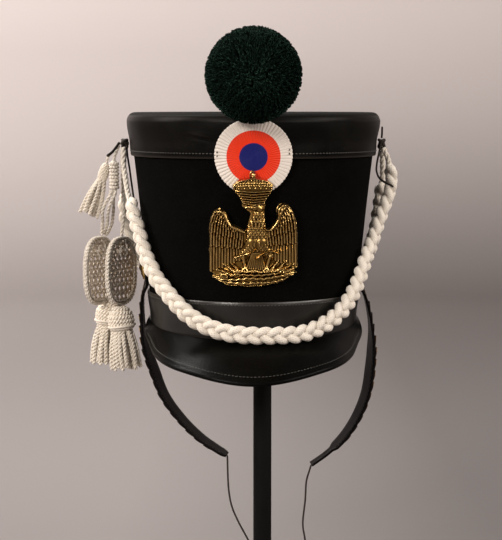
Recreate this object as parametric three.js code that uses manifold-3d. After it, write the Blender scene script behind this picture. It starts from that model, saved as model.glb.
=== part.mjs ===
// A black felt shako of the early nineteenth-century pattern, on the plain stand that it is kept on.
// Units are millimetres, +Z is up and the hat faces -Y. The origin is the centre of the stand's underside.
// The hat's pieces are modelled about the centre of its rim, and their group is placed on the stand.
import * as THREE from "three";
import { mergeVertices } from "three/addons/utils/BufferGeometryUtils.js";
import Module from "manifold-3d";

const wasm = await Module();
wasm.setup();

// Felt body: an oval that flares from the rim to the top.
const crownHeight = 185;
const rimHalfWidth = 87;
const rimHalfLength = 101;
const topHalfWidth = 107.4;
const topHalfLength = 118.5;
const feltWall = 2.5;

// Leather cap: top disc and side band moulded in one piece.
const capLeather = 2.4;
const capBandDepth = 37;
const capCornerRadius = 7;
const capDish = 4;

// Leather headband and visor.
const headbandHeight = 31;
const headbandLeather = 1.8;
const visorReach = 43;
const visorDrop = 28;
const visorEndRise = 8;
const visorCamber = 2.5;
const visorLeather = 3;

// Cockade and plate on the front.
const cockadeRadius = 31.5;
const cockadeThickness = 1.8;
const cockadeCentreBelowTop = 35;
const plateWidth = 72;
const plateHeight = 97;
const plateBase = 44.5;
const plateSheet = 1.2;
const wingRelief = 1.4;
const bodyRelief = 4.2;
const crownRelief = 3.2;
const boltRelief = 3.4;

// Pompon: locks of wool round a core, on a wire stem.
const pomponRadius = 38.5;
const pomponRise = 33;
const pomponLocks = 42;
const pomponLockRadius = 9;
const pomponLockLength = 10;
const stemRadius = 1.1;
const stemDepth = 11;

// White cords and what hangs on them.
const plaitDiameter = 15;
const endCordDiameter = 4.4;
const hangingCordDiameter = 3.2;
const tasselCordDiameter = 2.4;
const slideRadius = 4.4;
const slideHeight = 24.5;
const flounderWidth = 46;
const flounderHeight = 61;
const flounderNet = 3;
const flounderBorder = 5;
const flounderMeshPitch = 10;
const flounderMeshHole = 3;
const tasselHeadRadius = 11.4;
const tasselHeadHeight = 20;
const tasselFringeLength = 36;
const tasselFringeSpread = 14;
const smallTasselHeadRadius = 4.2;
const smallTasselHeadHeight = 15;
const smallTasselFringeLength = 34;
const smallTasselFringeSpread = 9.5;
const tasselSeat = 1;

// Black leather laces.
const laceDiameter = 2.4;
const hookAboveRim = 158;
const knotReach = 4;
const knotHalfLength = 7.5;
const knotHalfHeight = 4.5;

// Chin scales.
const bossRadius = 11;
const bossHeight = 5;
const bossRim = 1.2;
const bossShoulder = 1.5;
const bossAboveRim = 50;
const strapLeather = 2;
const strapTopWidth = 23;
const strapEndWidth = 17;
const strapTongueWidth = 9;
const strapTurn = 17;
const scalePitch = 10;
const scaleSheet = 0.9;
const scaleLift = 1.5;
const chinLaceDiameter = 4;

// Stand.
const rimAboveTable = 262;
const poleBesideHat = 8;
const poleRadius = 8;
const baseRadius = 105;
const baseThickness = 12;
const topPlateRadius = 52;
const topPlateThickness = 6;

const gap = 0.3;
const roundSegments = 42;

const finishes = {
  felt: { color: 0x0b0b0b, roughness: 0.95, metalness: 0 },
  leather: { color: 0x14110f, roughness: 0.35, metalness: 0 },
  visor: { color: 0x0d0d0c, roughness: 0.22, metalness: 0 },
  cockade: { color: 0xe4dfd5, roughness: 0.6, metalness: 0 },
  brass: { color: 0xb58a35, roughness: 0.25, metalness: 1 },
  wool: { color: 0x0d2a20, roughness: 1, metalness: 0 },
  cord: { color: 0xe2dbcd, roughness: 0.9, metalness: 0 },
  strap: { color: 0x1a1415, roughness: 0.5, metalness: 0 },
  steel: { color: 0x101010, roughness: 0.5, metalness: 0.2 },
};

const hat = new THREE.Group();
hat.position.set(-poleBesideHat, 0, rimAboveTable);
const stand = new THREE.Group();
const shako = new THREE.Group();
shako.add(stand, hat);

function addMesh(parent, name, finish, geometry) {
  const mesh = new THREE.Mesh(geometry, new THREE.MeshStandardMaterial(finishes[finish]));
  mesh.name = name;
  parent.add(mesh);
  return mesh;
}

// Solids for joining and cutting.

function solidOf(geometry) {
  const bare = geometry.clone();
  bare.deleteAttribute("normal");
  bare.deleteAttribute("uv");
  const merged = mergeVertices(bare, 1e-4);
  return new wasm.Manifold(
    new wasm.Mesh({
      numProp: 3,
      vertProperties: merged.attributes.position.array,
      triVerts: new Uint32Array(merged.index.array),
    }),
  );
}

function geometryOf(solid) {
  const mesh = solid.getMesh();
  const geometry = new THREE.BufferGeometry();
  geometry.setAttribute("position", new THREE.BufferAttribute(new Float32Array(mesh.vertProperties), 3));
  geometry.setIndex(new THREE.BufferAttribute(new Uint32Array(mesh.triVerts), 1));
  geometry.computeVertexNormals();
  return geometry;
}

function fused(geometries) {
  return geometries.map(solidOf).reduce((all, one) => all.add(one));
}

// The oval of the felt at a height above the rim.

const halfWidthAt = (z) => THREE.MathUtils.lerp(rimHalfWidth, topHalfWidth, z / crownHeight);
const halfLengthAt = (z) => THREE.MathUtils.lerp(rimHalfLength, topHalfLength, z / crownHeight);

// A point on the oval, that far outside the felt; the angle is 0 at the front and 90 degrees at the +X side.
function ovalPoint(angle, z, outside) {
  return new THREE.Vector3(
    (halfWidthAt(z) + outside) * Math.sin(angle),
    -(halfLengthAt(z) + outside) * Math.cos(angle),
    z,
  );
}

// A lathe about the hat's axis whose radii are half widths; lengths follow the oval.
function ovalLathe(profile) {
  const lathe = new THREE.LatheGeometry(
    profile.map(([r, z]) => new THREE.Vector2(r, z)),
    roundSegments,
  );
  lathe.rotateX(Math.PI / 2);
  const position = lathe.attributes.position;
  for (let i = 0; i < position.count; i++) {
    const z = position.getZ(i);
    const r = Math.hypot(position.getX(i), position.getY(i));
    const longer = halfLengthAt(z) - halfWidthAt(z);
    position.setY(i, position.getY(i) * (1 + longer / Math.max(r, halfWidthAt(z))));
  }
  return lathe;
}

// A wall round the oval between two heights, from one distance outside the felt to another.
function ovalWall(low, high, inner, outer) {
  return ovalLathe([
    [halfWidthAt(low) + inner, low],
    [halfWidthAt(low) + outer, low],
    [halfWidthAt(high) + outer, high],
    [halfWidthAt(high) + inner, high],
    [halfWidthAt(low) + inner, low],
  ]);
}

// A closed solid between two grids of points, front[i][j] and back[i][j], with its faces turned outward.
function sheetSolid(front, back) {
  const rows = front.length;
  const columns = front[0].length;
  const last = columns - 1;
  const points = [...front.flat(), ...back.flat()];
  const at = (side, i, j) => side * rows * columns + i * columns + j;
  const index = [];
  const quad = (a, b, c, d) => index.push(a, b, c, a, c, d);
  for (let i = 0; i + 1 < rows; i++) {
    for (let j = 0; j + 1 < columns; j++) {
      quad(at(0, i, j), at(0, i + 1, j), at(0, i + 1, j + 1), at(0, i, j + 1));
      quad(at(1, i, j), at(1, i, j + 1), at(1, i + 1, j + 1), at(1, i + 1, j));
    }
    quad(at(0, i, 0), at(1, i, 0), at(1, i + 1, 0), at(0, i + 1, 0));
    quad(at(0, i + 1, last), at(1, i + 1, last), at(1, i, last), at(0, i, last));
  }
  for (let j = 0; j + 1 < columns; j++) {
    quad(at(0, 0, j + 1), at(1, 0, j + 1), at(1, 0, j), at(0, 0, j));
    quad(at(0, rows - 1, j), at(1, rows - 1, j), at(1, rows - 1, j + 1), at(0, rows - 1, j + 1));
  }
  let volume = 0;
  for (let i = 0; i < index.length; i += 3) {
    const [a, b, c] = [points[index[i]], points[index[i + 1]], points[index[i + 2]]];
    volume += a.dot(new THREE.Vector3().crossVectors(b, c));
  }
  if (volume < 0) index.reverse();
  const geometry = new THREE.BufferGeometry();
  const positions = points.flatMap((p) => [p.x, p.y, p.z]);
  geometry.setAttribute("position", new THREE.Float32BufferAttribute(positions, 3));
  geometry.setIndex(index);
  return geometry;
}

// A value of one column of a table, between its rows, on a smooth curve.
function readTable(rows, place, at, column) {
  let i = 0;
  while (i + 2 < rows.length && rows[i + 1][at] < place) i++;
  const before = rows[Math.max(i - 1, 0)];
  const [from, to] = [rows[i], rows[i + 1]];
  const after = rows[Math.min(i + 2, rows.length - 1)];
  const span = to[at] - from[at];
  const t = THREE.MathUtils.clamp((place - from[at]) / span, 0, 1);
  const slopeFrom = ((to[column] - before[column]) / (to[at] - before[at])) * span;
  const slopeTo = ((after[column] - from[column]) / (after[at] - from[at])) * span;
  return (
    from[column] * (1 + 2 * t) * (1 - t) ** 2 +
    slopeFrom * t * (1 - t) ** 2 +
    to[column] * t * t * (3 - 2 * t) -
    slopeTo * t * t * (1 - t)
  );
}

// Felt body, open below and closed above by the cap.
function feltBody() {
  return ovalWall(0, crownHeight - capLeather - gap - capDish, -feltWall, 0);
}

function leatherCap() {
  const low = crownHeight - capBandDepth;
  const cornerStart = crownHeight - capCornerRadius;
  const outer = (z) => halfWidthAt(z) + gap + capLeather;
  const corner = [];
  const steps = 3;
  for (let i = 0; i <= steps; i++) {
    const turn = (i / steps) * (Math.PI / 2);
    corner.push([
      outer(cornerStart) - capCornerRadius * (1 - Math.cos(turn)),
      cornerStart + capCornerRadius * Math.sin(turn),
    ]);
  }
  const inside = crownHeight - capLeather;
  const dishStart = topHalfWidth * 0.72;
  return ovalLathe([
    [halfWidthAt(low) + gap, low],
    [outer(low), low],
    ...corner,
    [dishStart, crownHeight - capDish * 0.8],
    [0, crownHeight - capDish],
    [0, inside - capDish],
    [dishStart, inside - capDish],
    [halfWidthAt(inside - capDish) + gap, inside - capDish],
    [halfWidthAt(low) + gap, low],
  ]);
}

function headband() {
  return ovalWall(0, headbandHeight, gap, gap + headbandLeather);
}

// The visor round the rim by the angle from the front: its reach, its edge's drop and its seam's rise,
// as shares of their named sizes. Both sides are alike.
const visorRows = [
  { angle: -28, reach: 0.814, drop: 0.72, seam: 0.03 },
  { angle: 0, reach: 1, drop: 1, seam: 0 },
  { angle: 28, reach: 0.814, drop: 0.72, seam: 0.03 },
  { angle: 50, reach: 0.407, drop: 0.49, seam: 0.18 },
  { angle: 63, reach: 0.21, drop: 0.25, seam: 0.34 },
  { angle: 77, reach: 0.128, drop: 0.01, seam: 0.62 },
  { angle: 90, reach: 0.02, drop: -0.26, seam: 1 },
];

function visor() {
  const top = [];
  const under = [];
  const around = 26;
  const across = 4;
  for (let i = 0; i <= around; i++) {
    const degrees = -90 + (180 * i) / around;
    const angle = THREE.MathUtils.degToRad(degrees);
    const reach = visorReach * readTable(visorRows, Math.abs(degrees), "angle", "reach");
    const edge = -visorDrop * readTable(visorRows, Math.abs(degrees), "angle", "drop");
    const seam = visorEndRise * readTable(visorRows, Math.abs(degrees), "angle", "seam");
    const start = ovalPoint(angle, seam, 2 * gap + headbandLeather);
    const slope = Math.atan2(seam - edge, reach);
    const thickness = visorLeather / Math.max(Math.cos(slope), 0.55);
    const topRow = [];
    for (let j = 0; j <= across; j++) {
      const t = j / across;
      const camber = visorCamber * Math.sin(Math.PI * t) * (reach / visorReach);
      const point = start.clone();
      point.addScaledVector(new THREE.Vector3(Math.sin(angle), -Math.cos(angle), 0), reach * t);
      point.z += (edge - seam) * t + camber;
      topRow.push(point);
    }
    top.push(topRow);
    under.push(topRow.map((point) => new THREE.Vector3(point.x, point.y, point.z - thickness)));
  }
  return sheetSolid(top, under);
}

addMesh(hat, "felt_body", "felt", feltBody());
addMesh(hat, "leather_cap", "leather", leatherCap());
addMesh(hat, "headband", "leather", headband());
addMesh(hat, "visor", "visor", visor());

// Sheets on the front are pieces of a shell bent like the felt, cut to an outline seen from the front.

const bendSegments = 7;

// A shell bent about an upright axis behind it. Its back touches y = 0 and it grows towards -Y.
function bentShell(bendRadius, thickness, halfSpan, low, high) {
  const spread = Math.asin(halfSpan / bendRadius);
  const sector = new THREE.Shape();
  const front = -Math.PI / 2;
  sector.absarc(0, bendRadius, bendRadius + thickness, front - spread, front + spread, false);
  sector.absarc(0, bendRadius, bendRadius, front + spread, front - spread, true);
  const shell = new THREE.ExtrudeGeometry(sector, {
    depth: high - low,
    bevelEnabled: false,
    curveSegments: bendSegments,
  });
  return shell.translate(0, 0, low);
}

// An upright outline, with x to the right and y up, made deep enough to cut any of the shells.
const cutterDepth = 60;
function frontPrism(shape) {
  const prism = new THREE.ExtrudeGeometry(shape, {
    depth: cutterDepth,
    bevelEnabled: false,
    curveSegments: 6,
  });
  return prism.rotateX(Math.PI / 2).translate(0, cutterDepth / 2, 0);
}

const capEdge = crownHeight - capBandDepth;
const cockadeZ = crownHeight - cockadeCentreBelowTop;
const feltSlope = Math.atan2(topHalfLength - rimHalfLength, crownHeight);
const frontBend = topHalfWidth ** 2 / topHalfLength;

// The cockade leans on the cap's lower edge above and on the felt below.
const cockadeFoot = cockadeZ - cockadeRadius;
const cockadeLean = Math.atan2(gap + capLeather, capEdge - cockadeFoot);
const cockadeBack = (z) => halfLengthAt(z) + 2 * gap + Math.max(z - cockadeFoot, 0) * Math.tan(cockadeLean);

function cockade() {
  const disc = new THREE.CylinderGeometry(cockadeRadius, cockadeRadius, cutterDepth, 36);
  const halfSpan = cockadeRadius * 1.2;
  const shell = bentShell(frontBend, cockadeThickness, halfSpan, -halfSpan, halfSpan);
  return geometryOf(solidOf(shell).intersect(solidOf(disc)));
}
const cockadeMesh = addMesh(hat, "cockade", "cockade", cockade());
cockadeMesh.position.set(0, -cockadeBack(cockadeZ), cockadeZ);
cockadeMesh.rotation.x = feltSlope + cockadeLean;

// The plate's outlines, as shares of its width from the middle and of its height from the foot.
const plateOutline = [
  [-0.009, 1], [0.028, 0.965], [0.03, 0.93], [0.15, 0.91], [0.225, 0.87], [0.21, 0.81], [0.14, 0.74],
  [0.125, 0.65], [0.14, 0.507], [0.179, 0.503], [0.239, 0.551], [0.265, 0.586], [0.25, 0.66], [0.295, 0.705],
  [0.351, 0.709], [0.407, 0.68], [0.451, 0.626], [0.485, 0.543], [0.498, 0.435], [0.5, 0.19], [0.505, 0.155],
  [0.46, 0.136], [0.505, 0.107], [0.41, 0.078], [0.328, 0.037], [0.256, 0.022], [0.083, 0.003], [-0.072, 0],
  [-0.33, 0.007], [-0.36, 0.032], [-0.476, 0.068], [-0.45, 0.1], [-0.503, 0.115], [-0.504, 0.31],
  [-0.5, 0.493], [-0.487, 0.576], [-0.442, 0.642], [-0.375, 0.673], [-0.303, 0.636], [-0.28, 0.593],
  [-0.245, 0.536],
  [-0.163, 0.514], [-0.09, 0.485], [-0.063, 0.543], [-0.034, 0.628], [-0.13, 0.685], [-0.135, 0.72],
  [-0.16, 0.76], [-0.23, 0.82], [-0.24, 0.865], [-0.16, 0.915], [-0.045, 0.93], [-0.045, 0.965],
];
const crownOutline = [
  [-0.135, 0.72], [0.125, 0.72], [0.16, 0.76], [0.205, 0.82], [0.21, 0.86], [0.14, 0.9], [0.02, 0.92],
  [-0.05, 0.92], [-0.16, 0.9], [-0.225, 0.86], [-0.215, 0.82], [-0.16, 0.76],
];
const bodyOutline = [
  [-0.12, 0.69], [-0.02, 0.715], [0.11, 0.7], [0.105, 0.6], [0.13, 0.5], [0.16, 0.38], [0.1, 0.27],
  [0.02, 0.2], [-0.07, 0.27], [-0.1, 0.38], [-0.075, 0.5], [-0.03, 0.6], [-0.03, 0.65],
];
const boltOutline = [
  [-0.46, 0.075], [-0.3, 0.16], [-0.1, 0.13], [0.08, 0.13], [0.25, 0.2], [0.48, 0.15], [0.4, 0.09],
  [0.2, 0.03], [-0.05, 0.02], [-0.3, 0.03],
];
const plateShape = (points) =>
  new THREE.Shape(points.map(([u, v]) => new THREE.Vector2(u * plateWidth, v * plateHeight)));

// A wing's long feathers hang side by side, from the shoulder out to the edge.
const wingFeathers = 5;
const featherHalfWidth = 0.028;
function wingFeather(side, number) {
  const t = number / (wingFeathers - 1);
  const top = [side * THREE.MathUtils.lerp(0.2, 0.43, t), THREE.MathUtils.lerp(0.47, 0.6, t)];
  const foot = [side * THREE.MathUtils.lerp(0.17, 0.47, t), THREE.MathUtils.lerp(0.28, 0.2, t)];
  return plateShape([
    [top[0] - featherHalfWidth, top[1]],
    [foot[0] - featherHalfWidth, foot[1]],
    [foot[0], foot[1] - featherHalfWidth],
    [foot[0] + featherHalfWidth, foot[1]],
    [top[0] + featherHalfWidth, top[1]],
    [top[0], top[1] + featherHalfWidth],
  ]);
}

function eaglePlate() {
  const layer = (shape, thickness) => {
    const shell = bentShell(frontBend, thickness, plateWidth * 0.56, -1, plateHeight + 1);
    return solidOf(shell).intersect(solidOf(frontPrism(shape)));
  };
  let plate = layer(plateShape(plateOutline), plateSheet);
  for (const side of [-1, 1]) {
    for (let n = 0; n < wingFeathers; n++) {
      plate = plate.add(layer(wingFeather(side, n), plateSheet + wingRelief));
    }
  }
  plate = plate.add(layer(plateShape(bodyOutline), plateSheet + bodyRelief));
  plate = plate.add(layer(plateShape(crownOutline), plateSheet + crownRelief));
  return geometryOf(plate.add(layer(plateShape(boltOutline), plateSheet + boltRelief)));
}

// The plate stands on the felt at its foot and clears the cockade at its head.
const plateHead = plateBase + plateHeight;
const clearOfCockade = cockadeBack(plateHead) + cockadeThickness + gap - halfLengthAt(plateHead);
const plateLean = Math.atan2(clearOfCockade, plateHeight);
const plateMesh = addMesh(hat, "eagle_plate", "brass", eaglePlate());
plateMesh.position.set(0, -(halfLengthAt(plateBase) + 2 * gap), plateBase);
plateMesh.rotation.x = feltSlope + plateLean;

// Tubes along routes: wires and cords. A thin one has fewer sides and longer steps for its size.

const thickCord = 4;
const stepLengthOf = (diameter) => diameter * (diameter < thickCord ? 3 : 2);
function tube(points, diameter, stepLength = stepLengthOf(diameter)) {
  const sides = diameter < thickCord ? 8 : 10;
  const route = new THREE.CatmullRomCurve3(points.map(([x, y, z]) => new THREE.Vector3(x, y, z)));
  const section = new THREE.Shape();
  for (let i = 0; i < sides; i++) {
    const turn = (2 * Math.PI * i) / sides;
    const corner = [(diameter / 2) * Math.cos(turn), (diameter / 2) * Math.sin(turn)];
    if (i) section.lineTo(...corner);
    else section.moveTo(...corner);
  }
  return new THREE.ExtrudeGeometry(section, {
    steps: Math.max(3, Math.ceil(route.getLength() / stepLength)),
    bevelEnabled: false,
    extrudePath: route,
  });
}

// Pompon: domed locks stand out of a round core. It rests on the cap's corner and on the cockade's top.

const capFront = halfLengthAt(crownHeight) + gap + capLeather;
const cornerFoot = crownHeight - capCornerRadius;
const pomponZ = crownHeight + pomponRise;
const restAgainst = (y, z, reach) => y - Math.sqrt(reach ** 2 - (pomponZ - z) ** 2);
const cockadeTop = cockadeZ + cockadeRadius;
const pomponY = Math.min(
  restAgainst(capCornerRadius - capFront, cornerFoot, pomponRadius + capCornerRadius + gap),
  restAgainst(-cockadeBack(cockadeTop) - cockadeThickness, cockadeTop, pomponRadius + gap),
);

function pomponLock(number) {
  const goldenTurn = Math.PI * (3 - Math.sqrt(5));
  const height = 1 - (2 * (number + 0.5)) / pomponLocks;
  const round = Math.sqrt(1 - height * height);
  const out = new THREE.Vector3(
    Math.cos(goldenTurn * number) * round,
    Math.sin(goldenTurn * number) * round,
    height,
  );
  const root = pomponRadius - pomponLockLength;
  const shoulder = Math.sqrt(pomponRadius ** 2 - pomponLockRadius ** 2);
  const rootRadius = pomponLockRadius * 0.85;
  const profile = [[0, root], [rootRadius, root], [pomponLockRadius, shoulder], [0, pomponRadius]];
  const lock = new THREE.LatheGeometry(
    profile.map(([r, h]) => new THREE.Vector2(r, h)),
    5,
  );
  lock.applyQuaternion(new THREE.Quaternion().setFromUnitVectors(new THREE.Vector3(0, 1, 0), out));
  return lock;
}

// The stem is a wire that comes down out of the ball and goes in between the cap and the cockade.
const stemFoot = crownHeight - stemDepth;
const stemRoute = [
  [0, pomponY + 2, pomponZ - pomponRadius * 0.6],
  [0, -(capFront + 2 * gap + stemRadius), crownHeight - capCornerRadius * 0.4],
  [0, -(halfLengthAt(stemFoot) + capLeather + 2 * gap + stemRadius), stemFoot],
];

function pompon() {
  const core = new THREE.IcosahedronGeometry(pomponRadius - pomponLockLength * 0.2, 1);
  const locks = [];
  for (let n = 0; n < pomponLocks; n++) locks.push(pomponLock(n));
  const stemHole = tube(stemRoute, 2 * (stemRadius + gap), stepLengthOf(2 * stemRadius));
  stemHole.translate(0, -pomponY, -pomponZ);
  return geometryOf(fused([core, ...locks]).subtract(solidOf(stemHole)));
}
addMesh(hat, "pompon", "wool", pompon()).position.set(0, pomponY, pomponZ);
addMesh(hat, "pompon_stem", "brass", tube(stemRoute, 2 * stemRadius));

// Lace knots at the cap's sides, where the white cords hang.

const capSide = halfWidthAt(hookAboveRim) + gap + capLeather;
const knotX = capSide + gap + knotReach;
function laceKnot() {
  return new THREE.SphereGeometry(1, 10, 7).scale(knotReach, knotHalfLength, knotHalfHeight);
}
addMesh(hat, "lace_knot_left", "strap", laceKnot()).position.set(-knotX, 0, hookAboveRim);
addMesh(hat, "lace_knot_right", "strap", laceKnot()).position.set(knotX, 0, hookAboveRim);

// Routes of the cords, from where each is held to its free or lower end.
const cords = {
  plait_front: {
    diameter: plaitDiameter,
    finish: "cord",
    points: [
      [-104.1, -36, 107.7], [-101.2, -42, 97.9], [-97.4, -47, 87.2], [-94.2, -52, 76.6], [-90.9, -57, 66.1],
      [-86.3, -64, 57.5], [-81.3, -70.5, 48.1], [-75.6, -77, 41.3], [-65.2, -88, 30.1], [-53.3, -97, 19.7],
      [-39.2, -104.5, 12], [-22.9, -110, 7], [-2.7, -112.8, 5], [17.5, -111.4, 4.7], [37.9, -105, 5.2],
      [52.9, -96.5, 9], [68.2, -84.5, 17.2], [79.6, -72, 29], [88, -57, 43.2], [95.4, -43, 61.3],
      [102.5, -28, 76.8], [110.2, -17, 96.9], [116.6, -11, 112.6], [119.5, -8, 127.4], [116.8, -6, 143.5],
    ],
  },
  plait_rear: {
    diameter: plaitDiameter,
    finish: "cord",
    points: [
      [-113.5, 16, 118], [-113, 18, 97], [-111, 22, 85], [-108, 27, 70], [-103, 36, 58], [-95, 52, 46],
      [-83, 72, 34], [-66, 90, 26], [-45, 104.5, 20.5], [-22, 112, 17.5], [0, 114.5, 17], [22, 112, 17.5],
      [45, 104.5, 20.5], [66, 90, 26], [83, 72, 34], [95, 51, 46], [103, 33, 62], [107.5, 23, 80],
      [110.5, 20, 100], [112, 18, 113], [113.5, 16, 126],
    ],
  },
  end_cord_left_front: {
    diameter: endCordDiameter,
    finish: "cord",
    points: [
      [-112.4, -4.6, 154.1], [-112.2, -8.5, 140], [-110, -15, 128.1], [-107.6, -24, 116.8],
      [-104.4, -35.2, 108.9],
    ],
  },
  end_cord_left_rear: {
    diameter: endCordDiameter,
    finish: "cord",
    points: [[-112.1, 4.5, 154], [-113.6, 10, 138], [-113.6, 15.7, 118.8]],
  },
  end_cord_right_front: {
    diameter: endCordDiameter,
    finish: "cord",
    points: [[112.5, -4.5, 153.7], [114.6, -5.4, 149], [116.4, -5.9, 144.3]],
  },
  end_cord_right_rear: {
    diameter: endCordDiameter,
    finish: "cord",
    points: [[112.1, 4.5, 154], [113, 10, 142], [113.5, 15.7, 126.8]],
  },
  slide_cord: {
    diameter: hangingCordDiameter,
    finish: "cord",
    points: [[-116.9, -1.5, 155.3], [-118.6, -5, 150.5], [-120.1, -7.8, 146], [-120.3, -8, 143]],
  },
  hanging_cord_1: {
    diameter: hangingCordDiameter,
    finish: "cord",
    points: [
      [-122.8, -9.5, 117.4], [-123.6, -9.6, 114], [-128, -9, 106.5], [-130.8, -7, 99], [-131.3, -2, 89],
      [-132.6, 4.5, 78.6],
    ],
  },
  hanging_cord_2: {
    diameter: hangingCordDiameter,
    finish: "cord",
    points: [
      [-119.2, -10, 117.4], [-119.6, -10.2, 114], [-123.5, -10.5, 106.5], [-126, -7, 98], [-127.6, 0, 88],
      [-130.8, 7.6, 78.4],
    ],
  },
  hanging_cord_3: {
    diameter: hangingCordDiameter,
    finish: "cord",
    points: [[-120.8, -5.9, 117.4], [-121.5, -5, 108], [-122, -2, 98], [-124, 4, 87], [-129, 10.7, 77.6]],
  },
  flounder_cord: {
    diameter: hangingCordDiameter,
    finish: "cord",
    points: [[-113.4, 0.4, 153.4], [-114, 1, 140], [-113.6, 0, 115], [-113, -2, 95], [-114.6, -4.4, 78.3]],
  },
  small_tassel_cord: {
    diameter: tasselCordDiameter,
    finish: "cord",
    points: [[-116.1, 3.8, 158], [-121, 4, 152], [-126.3, 3.2, 146], [-127.7, 3.1, 141]],
  },
  lace_left_tail: {
    diameter: laceDiameter,
    finish: "strap",
    points: [[-116, -4.6, 158.6], [-118.8, -6.5, 154.5], [-122, -8, 150.5], [-126, -9, 147.5]],
  },
  lace_left_strand: {
    diameter: laceDiameter,
    finish: "strap",
    points: [
      [-109.7, -0.5, 153.5], [-109, -1, 146], [-107.3, -3, 136], [-106, -6, 127.5], [-103.2, -14, 111.5],
    ],
  },
  lace_right_tail: {
    diameter: laceDiameter,
    finish: "strap",
    points: [
      [109.9, -8.5, 157.4], [108.4, -10, 150], [106.6, -11, 141], [106.3, -13, 134], [109.5, -16.5, 127.5],
      [119.8, -19.8, 121.5],
    ],
  },
  lace_right_end: {
    diameter: laceDiameter,
    finish: "strap",
    points: [[111.4, 0, 163], [111.6, -1, 167], [111.6, -2, 172]],
  },
};

for (const [name, cord] of Object.entries(cords)) {
  addMesh(hat, name, cord.finish, tube(cord.points, cord.diameter));
}

// Woven slide that gathers the hanging cords.
function slide() {
  const profile = [];
  const lobes = 4;
  for (let i = 0; i <= 2 * lobes; i++) {
    const waist = i % 2 ? 1 : 0.82;
    profile.push(new THREE.Vector2(slideRadius * waist, slideHeight * (i / (2 * lobes) - 0.5)));
  }
  profile.unshift(new THREE.Vector2(0, -slideHeight / 2));
  profile.push(new THREE.Vector2(0, slideHeight / 2));
  return new THREE.LatheGeometry(profile, 10).rotateX(Math.PI / 2);
}
const slideTop = cords.slide_cord.points.at(-1);
const slideZ = slideTop[2] - gap - slideHeight / 2;
addMesh(hat, "slide", "cord", slide()).position.set(slideTop[0], slideTop[1], slideZ);

// Flounders: flat netted paddles with a corded border, hung edgewise.
const paddlePower = 2 / 2.6;
function paddlePoint(turn, halfWidth, halfHeight) {
  const round = (v) => Math.sign(v) * Math.abs(v) ** paddlePower;
  return new THREE.Vector2(halfWidth * round(Math.cos(turn)), halfHeight * round(Math.sin(turn)));
}

function flounder() {
  const halfWidth = (flounderWidth - flounderBorder) / 2;
  const halfHeight = (flounderHeight - flounderBorder) / 2;
  const steps = 22;
  const outline = [];
  for (let i = 0; i < steps; i++) {
    outline.push(paddlePoint((2 * Math.PI * i) / steps, halfWidth, halfHeight));
  }
  const net = new THREE.ExtrudeGeometry(new THREE.Shape(outline), {
    depth: flounderNet,
    bevelEnabled: false,
  });
  net.translate(0, 0, -flounderNet / 2);

  const ring = new THREE.TorusGeometry(1, 0.25, 5, steps);
  const position = ring.attributes.position;
  for (let i = 0; i < position.count; i++) {
    const around = Math.hypot(position.getX(i), position.getY(i));
    const turn = Math.atan2(position.getY(i), position.getX(i));
    const side = ((around - 1) / 0.25) * (flounderBorder / 2);
    const point = paddlePoint(turn, halfWidth, halfHeight);
    point.add(point.clone().normalize().multiplyScalar(side));
    position.setXYZ(i, point.x, point.y, (position.getZ(i) / 0.25) * (flounderBorder / 2));
  }

  let paddle = fused([net, ring]);
  const inside = flounderBorder / 2 + flounderMeshHole;
  for (let row = 0; row * (flounderMeshPitch / 2) < 2 * halfHeight; row++) {
    const v = row * (flounderMeshPitch / 2) - halfHeight;
    const start = -halfWidth + (row % 2) * (flounderMeshPitch / 2);
    for (let u = start; u < halfWidth; u += flounderMeshPitch) {
      const reach = (Math.abs(u) / (halfWidth - inside)) ** 2 + (Math.abs(v) / (halfHeight - inside)) ** 2;
      if (reach > 1) continue;
      const hole = new THREE.CylinderGeometry(flounderMeshHole, flounderMeshHole, 2 * flounderNet, 4);
      paddle = paddle.subtract(solidOf(hole.rotateX(Math.PI / 2).translate(u, v, 0)));
    }
  }
  return geometryOf(paddle).rotateX(Math.PI / 2);
}

const flounderTurn = THREE.MathUtils.degToRad(60);
const flounderTops = { left: [-134.6, 1, 77.5], right: [-115, -5, 77.7] };
for (const [side, [x, y, top]] of Object.entries(flounderTops)) {
  const mesh = addMesh(hat, `flounder_${side}`, "cord", flounder());
  mesh.position.set(x, y, top - flounderHeight / 2);
  mesh.rotation.z = flounderTurn;
}

// A tassel hanging from its origin: a knob with a rolled lower edge, and locks round a core, fused to it.
function tassel(headRadius, headHeight, fringeLength, spread, locks) {
  const head = [
    [0, headHeight / 2], [0.6, 0.42 * headHeight], [0.93, 0.15 * headHeight], [1, -0.2 * headHeight],
    [0.75, -headHeight / 2], [0, -headHeight / 2],
  ].map(([r, z]) => new THREE.Vector2(r * headRadius, z));
  const knob = new THREE.LatheGeometry(head.reverse(), 10).rotateX(Math.PI / 2);
  const middle = headHeight / -2 - fringeLength / 2 + tasselSeat;
  const core = new THREE.CylinderGeometry(headRadius * 0.7, spread * 0.72, fringeLength * 0.96, 6);
  const pieces = [knob, core.rotateX(Math.PI / 2).translate(0, 0, middle)];
  for (let n = 0; n < locks; n++) {
    const turn = (2 * Math.PI * (n + 0.3)) / locks;
    const thick = (Math.PI * spread) / locks;
    const lock = new THREE.CylinderGeometry(thick * 0.6, thick, fringeLength, 5);
    const flare = Math.atan2(spread - thick - headRadius * 0.66, fringeLength);
    lock.rotateX(Math.PI / 2).rotateY(-flare);
    lock.translate((headRadius * 0.66 + spread - thick) / 2, 0, middle);
    pieces.push(lock.rotateZ(turn));
  }
  return geometryOf(fused(pieces)).translate(0, 0, -headHeight / 2);
}

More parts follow.
